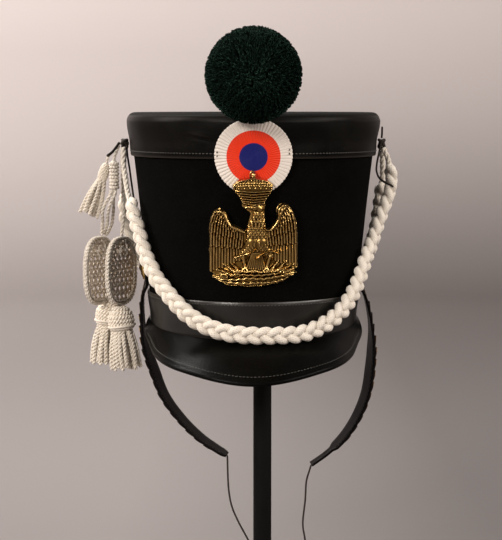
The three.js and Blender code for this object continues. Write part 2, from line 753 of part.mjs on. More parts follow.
// The two large tassels hang beside the flounders' feet. Each leans about the Y axis.
const tasselPlaces = {
  left: { x: -127.1, y: 13, aboveFoot: 1.9, lean: 4 },
  right: { x: -116.6, y: -10, aboveFoot: -0.1, lean: -7 },
};
for (const [side, { x, y, aboveFoot, lean }] of Object.entries(tasselPlaces)) {
  const sizes = [tasselHeadRadius, tasselHeadHeight, tasselFringeLength, tasselFringeSpread, 8];
  const mesh = addMesh(hat, `tassel_${side}`, "cord", tassel(...sizes));
  mesh.position.set(x, y, flounderTops[side][2] - flounderHeight + aboveFoot);
  mesh.rotation.y = THREE.MathUtils.degToRad(lean);
}
const smallTassel = addMesh(
  hat,
  "tassel_small",
  "cord",
  tassel(smallTasselHeadRadius, smallTasselHeadHeight, smallTasselFringeLength, smallTasselFringeSpread, 7),
);
smallTassel.position.set(...cords.small_tassel_cord.points.at(-1));
smallTassel.position.z -= 2 * gap;
smallTassel.rotation.set(THREE.MathUtils.degToRad(-4), THREE.MathUtils.degToRad(17), 0);

// Chin scales. A strap's route says how far it stands out from the line of the felt's side, how far it hangs
// below its boss and how far back it lies, as shares of the rim's half width. It turns as it falls, so that
// its inner face shows from the front.
const strapRoutes = {
  right: {
    side: 1,
    scales: 0.86,
    lace: [
      [50.5, -10.5, -124.1], [46.6, -11, -138], [45.7, -11, -154], [43.6, -11, -174.5], [45.1, -11, -187],
      [47.4, -11, -200], [48.2, -11, -212],
    ],
    rows: [
      { out: 0, down: -0.13, back: 0, turn: 0 },
      { out: 0, down: 0, back: 0, turn: 0 },
      { out: 0, down: 0.13, back: 0, turn: 0 },
      { out: 0.017, down: 0.2, back: 0, turn: 0.1 },
      { out: 0.082, down: 0.3, back: 0, turn: 0.3 },
      { out: 0.161, down: 0.55, back: -0.01, turn: 0.8 },
      { out: 0.199, down: 0.8, back: -0.02, turn: 1 },
      { out: 0.209, down: 1.03, back: -0.03, turn: 1 },
      { out: 0.193, down: 1.29, back: -0.045, turn: 1 },
      { out: 0.119, down: 1.53, back: -0.065, turn: 1 },
      { out: 0.008, down: 1.724, back: -0.085, turn: 1 },
      { out: -0.125, down: 1.868, back: -0.105, turn: 1 },
      { out: -0.277, down: 1.985, back: -0.12, turn: 1 },
    ],
  },
  left: {
    side: -1,
    scales: 0.97,
    lace: [
      [-22.7, -12.4, -115.3], [-22.2, -12.5, -135], [-21.2, -12.5, -148], [-18.6, -12.5, -160.5],
      [-13.3, -13, -173], [-6.4, -13.5, -186], [0.4, -14, -199], [4, -14, -211],
    ],
    rows: [
      { out: 0, down: -0.13, back: 0, turn: 0 },
      { out: 0, down: 0, back: 0, turn: 0 },
      { out: 0, down: 0.13, back: 0, turn: 0 },
      { out: 0.017, down: 0.2, back: 0, turn: 0.1 },
      { out: 0.068, down: 0.3, back: 0, turn: 0.3 },
      { out: 0.095, down: 0.55, back: -0.01, turn: 0.8 },
      { out: 0.091, down: 0.78, back: -0.02, turn: 1 },
      { out: 0.03, down: 1.04, back: -0.03, turn: 1 },
      { out: -0.046, down: 1.3, back: -0.05, turn: 1 },
      { out: -0.191, down: 1.53, back: -0.075, turn: 1 },
      { out: -0.347, down: 1.7, back: -0.1, turn: 1 },
      { out: -0.49, down: 1.81, back: -0.12, turn: 1 },
      { out: -0.607, down: 1.885, back: -0.14, turn: 1 },
    ],
  },
};

const sideSlope = Math.atan2(topHalfWidth - rimHalfWidth, crownHeight);
const strapX = (z) => halfWidthAt(z) + (gap + strapLeather / 2) / Math.cos(sideSlope);

// Places on a strap: u across it from -1 to 1, t along it from 0 to 1, and a height off its middle.
function strapPlaces({ side, rows }) {
  const route = new THREE.CatmullRomCurve3(
    rows.map(({ out, down, back }) => {
      const z = bossAboveRim - down * rimHalfWidth;
      return new THREE.Vector3(side * (strapX(z) + out * rimHalfWidth), back * rimHalfWidth, z);
    }),
  );
  const length = route.getLength();
  const place = (t, u, width, height) => {
    const down = route.getTangentAt(t);
    const row = Math.min(t * (rows.length - 1), rows.length - 1.001);
    const share = THREE.MathUtils.lerp(rows[Math.floor(row)].turn, rows[Math.floor(row) + 1].turn, row % 1);
    const turn = THREE.MathUtils.degToRad(strapTurn * share);
    const across = new THREE.Vector3(-side * Math.sin(turn), Math.cos(turn), 0);
    across.addScaledVector(down, -across.dot(down)).normalize();
    const outward = new THREE.Vector3().crossVectors(down, across).multiplyScalar(side);
    const point = route.getPointAt(t);
    return point.addScaledVector(across, (u * width) / 2).addScaledVector(outward, height);
  };
  return { length, place };
}

function strap(shape) {
  const { length, place } = strapPlaces(shape);
  const outer = [];
  const inner = [];
  const steps = Math.ceil(length / 7);
  for (let i = 0; i <= steps; i++) {
    const t = i / steps;
    const tapered = THREE.MathUtils.lerp(strapTopWidth, strapEndWidth, t);
    const width = t > shape.scales + 0.02 ? strapTongueWidth : tapered;
    outer.push([-1, 1].map((u) => place(t, u, width, strapLeather / 2)));
    inner.push([-1, 1].map((u) => place(t, u, width, -strapLeather / 2)));
  }
  return sheetSolid(outer, inner);
}

// The scales overlap like tiles. Each lies on the leather, rises towards its rounded lower end and covers
// the next one's head. Lengths are shares of the pitch, and widths are shares of the strap's.
const scaleRows = [
  { along: 0.02, width: 0.9, rise: 0 },
  { along: 0.5, width: 1, rise: 0.5 },
  { along: 1, width: 0.94, rise: 1 },
];
const scaleColumns = [-1, 0, 1];
const scaleRounding = 0.45;

function scales(shape) {
  const { length, place } = strapPlaces(shape);
  const strapHead = -shape.rows[0].down * rimHalfWidth;
  const first = (strapHead + bossRadius + gap) / length;
  const count = Math.floor(((shape.scales - first) * length) / scalePitch);
  const foot = strapLeather / 2 + 2 * gap;
  const top = [];
  const under = [];
  for (let n = 0; n < count; n++) {
    for (const row of scaleRows) {
      const line = (height) =>
        scaleColumns.map((u) => {
          const along = n + row.along - (n + row.along > 0.1 ? scaleRounding * (u * u - 0.3) : 0);
          const t = first + (along * scalePitch) / length;
          const width = THREE.MathUtils.lerp(strapTopWidth, strapEndWidth, t) * row.width;
          return place(t, u, width, height(u));
        });
      top.push(line((u) => foot + scaleSheet + scaleLift * row.rise * (1 - 0.4 * u * u)));
      under.push(line(() => foot));
    }
  }
  return sheetSolid(top, under);
}

function boss() {
  const dome = [[0, 0], [bossRadius, 0], [bossRadius, bossRim]];
  const steps = 3;
  for (let i = 1; i <= steps; i++) {
    const turn = (i / steps) * (Math.PI / 2);
    const rise = (bossHeight - bossRim) * Math.sin(turn);
    dome.push([(bossRadius - bossShoulder) * Math.cos(turn), bossRim + rise]);
  }
  dome[dome.length - 1][0] = 0;
  const points = dome.map(([r, h]) => new THREE.Vector2(r, h));
  return new THREE.LatheGeometry(points, 14);
}

for (const [name, shape] of Object.entries(strapRoutes)) {
  addMesh(hat, `chin_strap_${name}`, "strap", strap(shape));
  addMesh(hat, `chin_scales_${name}`, "brass", scales(shape));
  const bossMesh = addMesh(hat, `chin_boss_${name}`, "brass", boss());
  bossMesh.rotation.set(0, shape.side * sideSlope, (-shape.side * Math.PI) / 2);
  const bossX = strapX(bossAboveRim) + (strapLeather / 2 + gap) / Math.cos(sideSlope);
  bossMesh.position.set(shape.side * bossX, 0, bossAboveRim);
  addMesh(hat, `chin_lace_${name}`, "strap", tube(shape.lace, chinLaceDiameter));
}

// Stand: plate under the crown, pole and base.

function disc(radius, thickness) {
  const cylinder = new THREE.CylinderGeometry(radius, radius, thickness, 32);
  return cylinder.rotateX(Math.PI / 2).translate(0, 0, thickness / 2);
}
const crownUnderside = rimAboveTable + crownHeight - capDish - capLeather;
const topPlateZ = crownUnderside - gap - topPlateThickness;
addMesh(stand, "stand_base", "steel", disc(baseRadius, baseThickness));
const poleLength = topPlateZ - baseThickness - 2 * gap;
addMesh(stand, "stand_pole", "steel", disc(poleRadius, poleLength)).position.z = baseThickness + gap;
addMesh(stand, "stand_top_plate", "steel", disc(topPlateRadius, topPlateThickness)).position.z = topPlateZ;

export default shako;
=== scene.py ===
# Looks of the shako on its stand: felt and leather hat, plate, cockade, pompon, white cords and chin scales.
import math

import bmesh
import bpy
import numpy as np
from mathutils import Matrix, Vector


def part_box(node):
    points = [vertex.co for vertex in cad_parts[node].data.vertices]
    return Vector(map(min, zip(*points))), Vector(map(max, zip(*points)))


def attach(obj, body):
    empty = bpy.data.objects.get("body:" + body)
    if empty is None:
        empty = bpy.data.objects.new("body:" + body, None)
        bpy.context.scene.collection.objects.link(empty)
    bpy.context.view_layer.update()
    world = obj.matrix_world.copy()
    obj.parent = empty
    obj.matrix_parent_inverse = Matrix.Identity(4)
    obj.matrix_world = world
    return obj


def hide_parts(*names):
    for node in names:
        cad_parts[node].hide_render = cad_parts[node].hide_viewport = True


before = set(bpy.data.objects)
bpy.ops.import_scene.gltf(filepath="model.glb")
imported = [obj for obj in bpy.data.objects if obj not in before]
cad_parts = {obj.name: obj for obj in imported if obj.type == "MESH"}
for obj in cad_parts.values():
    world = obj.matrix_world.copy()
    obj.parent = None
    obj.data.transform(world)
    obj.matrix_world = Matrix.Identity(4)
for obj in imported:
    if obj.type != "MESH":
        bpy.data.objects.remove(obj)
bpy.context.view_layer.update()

# The hat's own sizes are in millimetres about the centre of its rim, as in the part's source.
MM = 0.001
felt_low, felt_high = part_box("felt_body")
HAT_CENTRE = np.array([(felt_low.x + felt_high.x) / 2, (felt_low.y + felt_high.y) / 2, felt_low.z])

CROWN_HEIGHT = 185
RIM_HALF_WIDTH = 87
RIM_HALF_LENGTH = 101
TOP_HALF_WIDTH = 107.4
TOP_HALF_LENGTH = 118.5
FELT_WALL = 2.5
CAP_LEATHER = 2.4
CAP_BAND_DEPTH = 37
CAP_CORNER = 7
CAP_DISH = 4
HEADBAND_HEIGHT = 31
HEADBAND_LEATHER = 1.8
GAP = 0.3

scene = bpy.context.scene
scene.view_settings.view_transform = "Standard"


def in_frame(points):
    """Points about the hat's rim in millimetres, as points of the row frame in metres."""
    return np.asarray(points, float) * MM + HAT_CENTRE


def link_object(name, data):
    made = bpy.data.objects.new(name, data)
    scene.collection.objects.link(made)
    return made


# Camera: level with the hat's top, looking slightly down, at the photograph's distance.

IMAGE_WIDTH = 502
FOCAL_PIXELS = 1724
CAMERA_X = -2
CAMERA_DISTANCE = 1500
CAMERA_HEIGHT = 192
CAMERA_PITCH = math.radians(5.5)


def make_camera():
    data = bpy.data.cameras.new("camera")
    data.sensor_fit = "HORIZONTAL"
    data.sensor_width = 36
    data.lens = FOCAL_PIXELS * data.sensor_width / IMAGE_WIDTH
    data.clip_start = 0.05
    data.clip_end = 20
    scene.camera = link_object("camera", data)
    scene.camera.location = in_frame([CAMERA_X, -CAMERA_DISTANCE, CAMERA_HEIGHT])
    scene.camera.rotation_euler = (math.pi / 2 - CAMERA_PITCH, 0, 0)


make_camera()


# Smooth lines and meshes
CURVE_STEPS = 24
SMOOTH_UP_TO = math.radians(50)


def smooth_route(points, step):
    """Points on a smooth curve through the given ones, one every step."""
    points = np.asarray(points, float)
    ends = np.vstack([2 * points[0] - points[1], points, 2 * points[-1] - points[-2]])
    pieces = []
    t = np.linspace(0, 1, CURVE_STEPS, endpoint=False)[:, None]
    for i in range(len(points) - 1):
        a, b, c, d = ends[i:i + 4]
        pieces.append(b + 0.5 * t * (c - a + t * (2 * a - 5 * b + 4 * c - d + t * (3 * b - a - 3 * c + d))))
    fine = np.vstack([*pieces, points[-1:]])
    along = lengths_along(fine)
    places = np.linspace(0, along[-1], max(2, int(round(along[-1] / step)) + 1))
    return np.stack([np.interp(places, along, fine[:, k]) for k in range(3)], 1)


def lengths_along(points):
    return np.concatenate([[0], np.cumsum(np.linalg.norm(np.diff(points, axis=0), axis=1))])


def turns_round(count):
    return 2 * np.pi * np.arange(count) / count


def hump(value, middle, width):
    """A smooth rise to 1 at the middle that falls away on both sides over about that width."""
    return np.exp(-(((value - middle) / width) ** 2))


def unit(vectors):
    return vectors / np.maximum(np.linalg.norm(vectors, axis=-1, keepdims=True), 1e-9)


def carried_normals(path):
    """A normal at each point of a path, carried along it without twist."""
    tangents = unit(np.gradient(path, axis=0))
    first = np.cross(tangents[0], [0, 0, 1] if abs(tangents[0][2]) < 0.8 else [0, 1, 0])
    normals = [unit(first)]
    for tangent in tangents[1:]:
        normal = normals[-1] - tangent * normals[-1].dot(tangent)
        normals.append(unit(normal))
    return np.array(normals)


class MeshPlan:
    """The points, faces and pattern coordinates of one piece, gathered grid by grid, in millimetres."""

    def __init__(self):
        self.points = []
        self.faces = []
        self.pattern = []
        self.count = 0

    def grid(self, points, pattern=None, around=False, loop=False, start_cap=False, end_cap=False):
        """Faces over rows of points. around closes each row, and loop joins the last row to the first."""
        points = np.asarray(points, float)
        rows, columns = points.shape[:2]
        if pattern is None:
            u, v = np.meshgrid(np.arange(columns + around) / columns, np.arange(rows + loop) / rows)
            pattern = np.stack([u, v], -1)
        index = np.arange(rows * columns).reshape(rows, columns) + self.count
        i, j = np.meshgrid(np.arange(rows - 1 + loop), np.arange(columns - 1 + around), indexing="ij")
        i2 = (i + 1) % rows
        j2 = (j + 1) % columns
        quads = np.stack([index[i, j], index[i, j2], index[i2, j2], index[i2, j]], -1).reshape(-1, 4)
        corners = [pattern[i, j], pattern[i, j + 1], pattern[i + 1, j + 1], pattern[i + 1, j]]
        self.points.append(points.reshape(-1, 3))
        self.faces.extend(quads.tolist())
        self.pattern.append(np.stack(corners, 2).reshape(-1, 2))
        if start_cap:
            self.faces.append(index[0][::-1].tolist())
            self.pattern.append(np.tile(pattern[0, 0], (columns, 1)))
        if end_cap:
            self.faces.append(index[-1].tolist())
            self.pattern.append(np.tile(pattern[-1, 0], (columns, 1)))
        self.count += rows * columns

    def tube(self, path, radius, sides=8, normals=None, flatness=1.0, round_ends=True):
        """A closed tube along a path. Its pattern is the share round it and the length along it.

        Normals are given only for a tube whose ends stay flat.
        """
        path = np.asarray(path, float)
        radius = np.broadcast_to(np.asarray(radius, float), len(path))
        if round_ends:
            out = unit(path[0] - path[1]) * radius[0], unit(path[-1] - path[-2]) * radius[-1]
            head = [path[0] + 0.5 * out[0], path[0] + 0.3 * out[0]]
            tail = [path[-1] + 0.3 * out[1], path[-1] + 0.5 * out[1]]
            path = np.vstack([head, path, tail])
            shrink = np.array([0.3, 0.75])
            radius = np.concatenate([shrink * radius[0], radius, shrink[::-1] * radius[-1]])
        normals = carried_normals(path) if normals is None else normals
        tangents = unit(np.gradient(path, axis=0))
        sideways = unit(np.cross(tangents, normals))
        turns = turns_round(sides)
        ring = (
            np.cos(turns)[None, :, None] * normals[:, None] * flatness
            + np.sin(turns)[None, :, None] * sideways[:, None]
        )
        points = path[:, None] + ring * radius[:, None, None]
        u, v = np.meshgrid(np.arange(sides + 1) / sides, lengths_along(path))
        self.grid(points, np.stack([u, v], -1), around=True, start_cap=True, end_cap=True)

    def twist(self, path, thick, pitch):
        """Two plies laid round each other along a path, as one cord of that thickness."""
        along = lengths_along(path)
        normals = carried_normals(path)
        sideways = np.cross(unit(np.gradient(path, axis=0)), normals)
        reach = thick / 4
        for half_turn in (0, 0.5):
            turn = 2 * np.pi * (along / pitch + half_turn)
            offset = normals * np.cos(turn)[:, None] + sideways * np.sin(turn)[:, None]
            self.tube(path + offset * reach, thick / 2 - reach * 0.9, 6)

    def build(self, name, material):
        mesh = bpy.data.meshes.new(name)
        mesh.from_pydata(in_frame(np.vstack(self.points)).tolist(), [], self.faces)
        layer = mesh.uv_layers.new(name="pattern")
        layer.data.foreach_set("uv", np.vstack(self.pattern).astype(np.float32).ravel())
        mesh.materials.append(material)
        mesh.shade_smooth()
        mesh.set_sharp_from_angle(angle=SMOOTH_UP_TO)
        return link_object(name, mesh)


def closed_shell(rows, pattern=None):
    """A plan of one shell whose rows close round, with a cap at each end."""
    plan = MeshPlan()
    plan.grid(rows, pattern, around=True, start_cap=True, end_cap=True)
    return plan


def hat_box(node):
    """The middle and the size of a node's box, in millimetres about the hat's rim."""
    low, high = (np.array(corner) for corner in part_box(node))
    return ((low + high) / 2 - HAT_CENTRE) / MM, (high - low) / MM


def keep(piece, slot, *nodes):
    """The piece rides on the part and stands for those nodes, which are hidden. Its slot is not used."""
    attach(piece, "root")
    if nodes:
        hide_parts(*nodes)


# Shader building


def set_input(tree, socket, value):
    """Links a socket to another one, or sets it to a plain value."""
    if isinstance(value, bpy.types.NodeSocket):
        tree.links.new(value, socket)
    else:
        socket.default_value = value


def add_node(tree, kind, inputs=None, **settings):
    """A node with its settings, and its inputs by name or number."""
    made = tree.nodes.new(kind)
    for key, value in settings.items():
        setattr(made, key, value)
    for key, value in (inputs or {}).items():
        set_input(tree, made.inputs[key], value)
    return made


def calculate(tree, operation, *values):
    return add_node(tree, "ShaderNodeMath", dict(enumerate(values)), operation=operation).outputs[0]


def mix_colours(tree, share, first, second):
    first, second = ((*value, 1) if isinstance(value, tuple) else value for value in (first, second))
    return add_node(tree, "ShaderNodeMix", {0: share, 6: first, 7: second}, data_type="RGBA").outputs[2]


def noise(tree, place, density, detail):
    """Noise that many times to a metre."""
    made = add_node(tree, "ShaderNodeTexNoise", {"Vector": place, "Scale": density, "Detail": detail})
    return made.outputs["Fac"]


def spread(tree, value, low, high, to_low=0.0, to_high=1.0):
    """A value from low to high turned to one from to_low to to_high, and held at both ends."""
    limits = {"Value": value, "From Min": low, "From Max": high, "To Min": to_low, "To Max": to_high}
    return add_node(tree, "ShaderNodeMapRange", limits).outputs[0]


def axes(tree, vector):
    return add_node(tree, "ShaderNodeSeparateXYZ", {"Vector": vector}).outputs


def ramp(tree, value, stops):
    """A value read through a ramp of grey stops, each a place and a level."""
    made = add_node(tree, "ShaderNodeValToRGB", {"Fac": value})
    elements = made.color_ramp.elements
    while len(elements) < len(stops):
        elements.new(0.5)
    for element, (place, level) in zip(elements, stops):
        element.position = place
        element.color = (level, level, level, 1)
    return made.outputs["Color"]


def shader_group(name, vector, values, outputs):
    """A shader node group with a vector and values coming in and values going out, and its inner ends."""
    tree = bpy.data.node_groups.new(name, "ShaderNodeTree")
    if vector:
        tree.interface.new_socket(vector, in_out="INPUT", socket_type="NodeSocketVector")
    for key, value in values.items():
        socket = tree.interface.new_socket(key, in_out="INPUT", socket_type="NodeSocketFloat")
        socket.default_value = value
    for key in outputs:
        tree.interface.new_socket(key, in_out="OUTPUT", socket_type="NodeSocketFloat")
    return tree, tree.nodes.new("NodeGroupInput").outputs, tree.nodes.new("NodeGroupOutput").inputs


def place_group(tree, group, inputs):
    return add_node(tree, "ShaderNodeGroup", inputs, node_tree=group).outputs


def make_grain_group():
    """Leather grain: small rounded cells with finer noise, and broad patches for colour and gloss."""
    sizes = {"Cell Size": 0.001, "Patch Size": 0.03}
    tree, given, result = shader_group("leather_grain", "Coordinates", sizes, ("Height", "Patches"))
    place = given["Coordinates"]
    density = calculate(tree, "DIVIDE", 1.0, given["Cell Size"])
    cells = add_node(tree, "ShaderNodeTexVoronoi", {"Vector": place, "Scale": density}).outputs["Distance"]
    height = calculate(tree, "MULTIPLY_ADD", cells, -0.7, noise(tree, place, density, 4.0))
    patch_density = calculate(tree, "DIVIDE", 1.0, given["Patch Size"])
    tree.links.new(height, result["Height"])
    tree.links.new(noise(tree, place, patch_density, 5.0), result["Patches"])
    return tree


def make_thread_group():
    """Thread laid round a cord: slanted ridges, counted round it and spaced along it in millimetres."""
    values = {"Threads": 6.0, "Pitch": 2.0, "Fuzz": 0.2}
    tree, given, result = shader_group("laid_thread", "Pattern", values, ("Height", "Shade"))
    place = axes(tree, given["Pattern"])
    along = calculate(tree, "DIVIDE", place["Y"], given["Pitch"])
    around = calculate(tree, "MULTIPLY", place["X"], given["Threads"])
    ridges = []
    for hand in (1, -1):
        phase = calculate(tree, "MULTIPLY_ADD", along, hand, around)
        ridges.append(calculate(tree, "SINE", calculate(tree, "MULTIPLY", phase, 2 * math.pi)))
    woven = calculate(tree, "MAXIMUM", *ridges)
    fuzz = calculate(tree, "MULTIPLY", noise(tree, given["Pattern"], 9.0, 3.0), given["Fuzz"])
    tree.links.new(calculate(tree, "MULTIPLY_ADD", woven, 0.5, fuzz), result["Height"])
    # Shade is 1 on the threads and 0 between them, and marks where the cord's colour is painted darker as
    # shade.
    tree.links.new(calculate(tree, "MULTIPLY_ADD", woven, 0.5, 0.5), result["Shade"])
    return tree


def make_dust_group():
    """Fine dust and lint that settles on faces turned up."""
    tree, given, result = shader_group("settled_dust", "Coordinates", {"Amount": 0.3}, ("Dust",))
    up = axes(tree, add_node(tree, "ShaderNodeNewGeometry").outputs["Normal"])["Z"]
    cover = ramp(tree, noise(tree, given["Coordinates"], 1100.0, 2.0), [(0.5, 0.0), (0.72, 1.0)])
    settled = calculate(tree, "MULTIPLY", cover, calculate(tree, "MULTIPLY_ADD", up, 0.5, 0.5))
    tree.links.new(calculate(tree, "MULTIPLY", settled, given["Amount"]), result["Dust"])
    return tree


def make_wear_group():
    """Raised edges rubbed bright and hollows left dark, from the surface's own pointedness."""
    tree, given, result = shader_group("rubbed_edges", None, {"Hollow": 0.46, "Edge": 0.54}, ("Rubbed",))
    pointed = add_node(tree, "ShaderNodeNewGeometry").outputs["Pointiness"]
    tree.links.new(spread(tree, pointed, given["Hollow"], given["Edge"]), result["Rubbed"])
    return tree


grain_group = make_grain_group()
thread_group = make_thread_group()
dust_group = make_dust_group()
wear_group = make_wear_group()


class Finish:
    """A material with its Principled shader, object coordinates and pattern coordinates at hand."""

    def __init__(self, name, **uniform):
        self.material = bpy.data.materials.new(name)
        self.material.use_nodes = True
        self.tree = self.material.node_tree
        self.shader = self.tree.nodes["Principled BSDF"]
        self.place = add_node(self.tree, "ShaderNodeTexCoord").outputs["Object"]
        self.pattern = add_node(self.tree, "ShaderNodeUVMap", uv_map="pattern").outputs["UV"]
        for key, value in uniform.items():
            self.shader.inputs[key.replace("_", " ")].default_value = value

    def feed(self, key, socket):
        self.tree.links.new(socket, self.shader.inputs[key])

    def bump(self, height, distance, strength):
        relief = {"Height": height, "Distance": distance, "Strength": strength}
        self.feed("Normal", add_node(self.tree, "ShaderNodeBump", relief).outputs["Normal"])

    def noise(self, density, detail):
        return noise(self.tree, self.place, density, detail)

    def dusted(self, colour, amount, dust):
        """A colour with some dust of another colour on it."""
        cover = place_group(self.tree, dust_group, {"Coordinates": self.place, "Amount": amount})["Dust"]
        return mix_colours(self.tree, cover, colour, dust)


def felt_finish():
    finish = Finish("felt", Specular_IOR_Level=0.03, Roughness=0.95)
    fibres = finish.noise(1400.0, 6.0)
    level = calculate(finish.tree, "MULTIPLY", fibres, finish.noise(45.0, 3.0))
    cloth = mix_colours(finish.tree, level, (0.0007, 0.0007, 0.0006), (0.0038, 0.0036, 0.003))
    finish.feed("Base Color", finish.dusted(cloth, 0.05, (0.12, 0.11, 0.1)))
    finish.bump(fibres, 0.0006, 0.7)
    return finish.material


def leather_finish(name, dark, light, gloss, rough, cell_size, depth, wear, shine=0.06, dull_from=9.0):
    """Leather: dark and light colours in patches, glossy and rough levels, grain and rubbed edges.

    Above the height dull_from it has lost its gloss.
    """
    finish = Finish(name, Specular_IOR_Level=shine)
    tree = finish.tree
    grain = place_group(
        tree, grain_group, {"Coordinates": finish.place, "Cell Size": cell_size, "Patch Size": 0.03}
    )
    body = mix_colours(tree, ramp(tree, grain["Patches"], [(0.35, 0.0), (0.7, 1.0)]), dark, light)
    rubbed = place_group(tree, wear_group, {"Hollow": 0.51, "Edge": 0.6})["Rubbed"]
    worn = mix_colours(tree, calculate(tree, "MULTIPLY", rubbed, wear), body, (0.11, 0.09, 0.075))
    finish.feed("Base Color", finish.dusted(worn, 0.03, (0.1, 0.09, 0.08)))
    level = calculate(tree, "MULTIPLY_ADD", grain["Patches"], rough - gloss, gloss)
    height = axes(tree, finish.place)["Z"]
    dulled = spread(tree, height, dull_from, dull_from + 0.002, 0.0, 0.85 - gloss)
    finish.feed("Roughness", calculate(tree, "MINIMUM", calculate(tree, "ADD", level, dulled), 0.88))
    finish.bump(grain["Height"], depth, 0.6)
    return finish.material


def cord_finish(name, light, shade, threads, pitch):
    """Cord or thread: threads laid both ways round it, with shade painted darker between them; the shade
    colour also tints it as soil.
    """
    finish = Finish(name, Roughness=0.8, Sheen_Weight=0.25, Sheen_Roughness=0.5, Specular_IOR_Level=0.3)
    tree = finish.tree
    thread = {"Pattern": finish.pattern, "Threads": threads, "Pitch": pitch, "Fuzz": 0.3}
    laid = place_group(tree, thread_group, thread)
    soil = calculate(tree, "MULTIPLY", finish.noise(60.0, 4.0), 0.35)
    # Painted shade: the colour darkens towards the shade colour between the threads, where shade falls.
    gap_shade = calculate(tree, "MULTIPLY", calculate(tree, "SUBTRACT", 1.0, laid["Shade"]), 0.55)
    finish.feed("Base Color", mix_colours(tree, gap_shade, mix_colours(tree, soil, light, shade), shade))
    finish.bump(laid["Height"], 0.0003, 0.8)
    return finish.material


def brass_finish(name, hollow, body, bright, rough):
    """Sheet brass: dark in its hollows, bright on its edges, with stains and fine scratches."""
    finish = Finish(name, Metallic=1.0)
    tree = finish.tree
    rubbed = place_group(tree, wear_group, {"Hollow": 0.44, "Edge": 0.56})["Rubbed"]
    stain = finish.noise(130.0, 5.0)
    low = mix_colours(tree, ramp(tree, rubbed, [(0.0, 0.0), (0.5, 1.0)]), hollow, body)
    high = mix_colours(tree, ramp(tree, rubbed, [(0.5, 0.0), (1.0, 1.0)]), low, bright)
    patina = ramp(tree, stain, [(0.45, 0.0), (0.75, 0.35)])
    finish.feed("Base Color", mix_colours(tree, patina, high, hollow))
    finish.feed("Roughness", calculate(tree, "MULTIPLY_ADD", stain, 0.22, rough))
    finish.bump(finish.noise(900.0, 3.0), 0.00008, 0.6)
    return finish.material


def cockade_finish():
    """Painted rings by the share of the radius, with a fine line of painted shade in each pleat."""
    finish = Finish("painted_cockade", Roughness=0.5, Specular_IOR_Level=0.12)
    tree = finish.tree
    pattern = axes(tree, finish.pattern)
    blot = finish.noise(500.0, 3.0)
    place = calculate(tree, "ADD", pattern["X"], calculate(tree, "MULTIPLY_ADD", blot, 0.012, -0.006))
    painted = mix_colours(tree, blot, (0.72, 0.64, 0.57), (0.8, 0.73, 0.67))
    for edge, colour in ((0.685, (0.76, 0.035, 0.008)), (0.358, (0.011, 0.014, 0.125))):
        inside = ramp(tree, place, [(edge, 1.0), (edge + 0.01, 0.0)])
        painted = mix_colours(tree, inside, painted, colour)
    # Painted shade: a fine dark line down one side of each pleat, stronger towards the outer edge, where the
    # fold's shade falls.
    fold = calculate(tree, "SINE", calculate(tree, "MULTIPLY", pattern["Y"], 2 * math.pi * PLEATS))
    line = ramp(tree, calculate(tree, "MULTIPLY_ADD", fold, 0.5, 0.5), [(0.0, 1.0), (0.25, 0.0)])
    outer = ramp(tree, pattern["X"], [(0.3, 0.0), (0.8, 1.0)])
    crease = calculate(tree, "MULTIPLY", calculate(tree, "MULTIPLY", line, outer), 0.3)
    finish.feed("Base Color", mix_colours(tree, crease, painted, (0.3, 0.24, 0.2)))
    finish.bump(blot, 0.0001, 0.5)
    return finish.material


def wool_finish():
    """Dyed wool, a little lighter or darker from yarn to yarn."""
    finish = Finish(
        "green_wool", Roughness=0.95, Sheen_Weight=0.2, Sheen_Roughness=0.3, Sheen_Tint=(0.45, 1, 0.7, 1),
        Specular_IOR_Level=0.03,
    )
    tint = add_node(finish.tree, "ShaderNodeAttribute", attribute_name="tint").outputs["Fac"]
    dyed = mix_colours(finish.tree, tint, (0.0003, 0.0008, 0.0006), (0.0018, 0.0058, 0.0042))
    finish.feed("Base Color", dyed)
    finish.bump(finish.noise(3000.0, 2.0), 0.0004, 0.8)
    return finish.material


def painted_steel_finish():
    finish = Finish("black_paint", Specular_IOR_Level=0.1)
    finish.feed("Base Color", finish.dusted((0.003, 0.003, 0.0028), 0.06, (0.1, 0.09, 0.085)))
    finish.feed("Roughness", calculate(finish.tree, "MULTIPLY_ADD", finish.noise(25.0, 4.0), 0.3, 0.5))
    finish.bump(finish.noise(700.0, 2.0), 0.0002, 0.3)
    return finish.material


PLEATS = 64
felt = felt_finish()
cap_leather = leather_finish(
    "cap_leather", (0.0015, 0.0013, 0.001), (0.0045, 0.004, 0.0032), gloss=0.3, rough=0.5,
    cell_size=0.0012, depth=0.0001, wear=0.4, dull_from=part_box("leather_cap")[1][2] - 0.003,
)
visor_leather = leather_finish(
    "visor_leather", (0.001, 0.001, 0.0008), (0.0025, 0.0025, 0.002), gloss=0.26, rough=0.44,
    cell_size=0.0018, depth=0.00012, wear=0.25, shine=0.07,
)
band_leather = leather_finish(
    "band_leather", (0.003, 0.003, 0.0025), (0.008, 0.007, 0.006), gloss=0.24, rough=0.4,
    cell_size=0.0012, depth=0.0001, wear=0.3, shine=0.45,
)
strap_leather = leather_finish(
    "strap_leather", (0.003, 0.0024, 0.0026), (0.009, 0.0065, 0.007), gloss=0.38, rough=0.6,
    cell_size=0.0009, depth=0.00015, wear=0.4,
)
dark_thread = cord_finish("dark_thread", (0.05, 0.045, 0.038), (0.02, 0.018, 0.015), 3.0, 1.0)
white_cord = cord_finish("white_cord", (0.86, 0.8, 0.71), (0.53, 0.44, 0.35), 7.0, 1.6)
fringe_cord = cord_finish("fringe_cord", (0.9, 0.83, 0.73), (0.54, 0.45, 0.35), 3.0, 1.2)
# The net's cord is painted darker and warmer than the white cord, as shade on the flounders' faces.
shaded_net_cord = cord_finish("shaded_net_cord", (0.8, 0.71, 0.6), (0.5, 0.41, 0.32), 4.0, 1.2)
brass = brass_finish("stamped_brass", (0.035, 0.018, 0.005), (0.25, 0.14, 0.034), (0.84, 0.58, 0.23), 0.16)
cockade_paint = cockade_finish()
wool = wool_finish()
black_paint = painted_steel_finish()


# Geometry Nodes


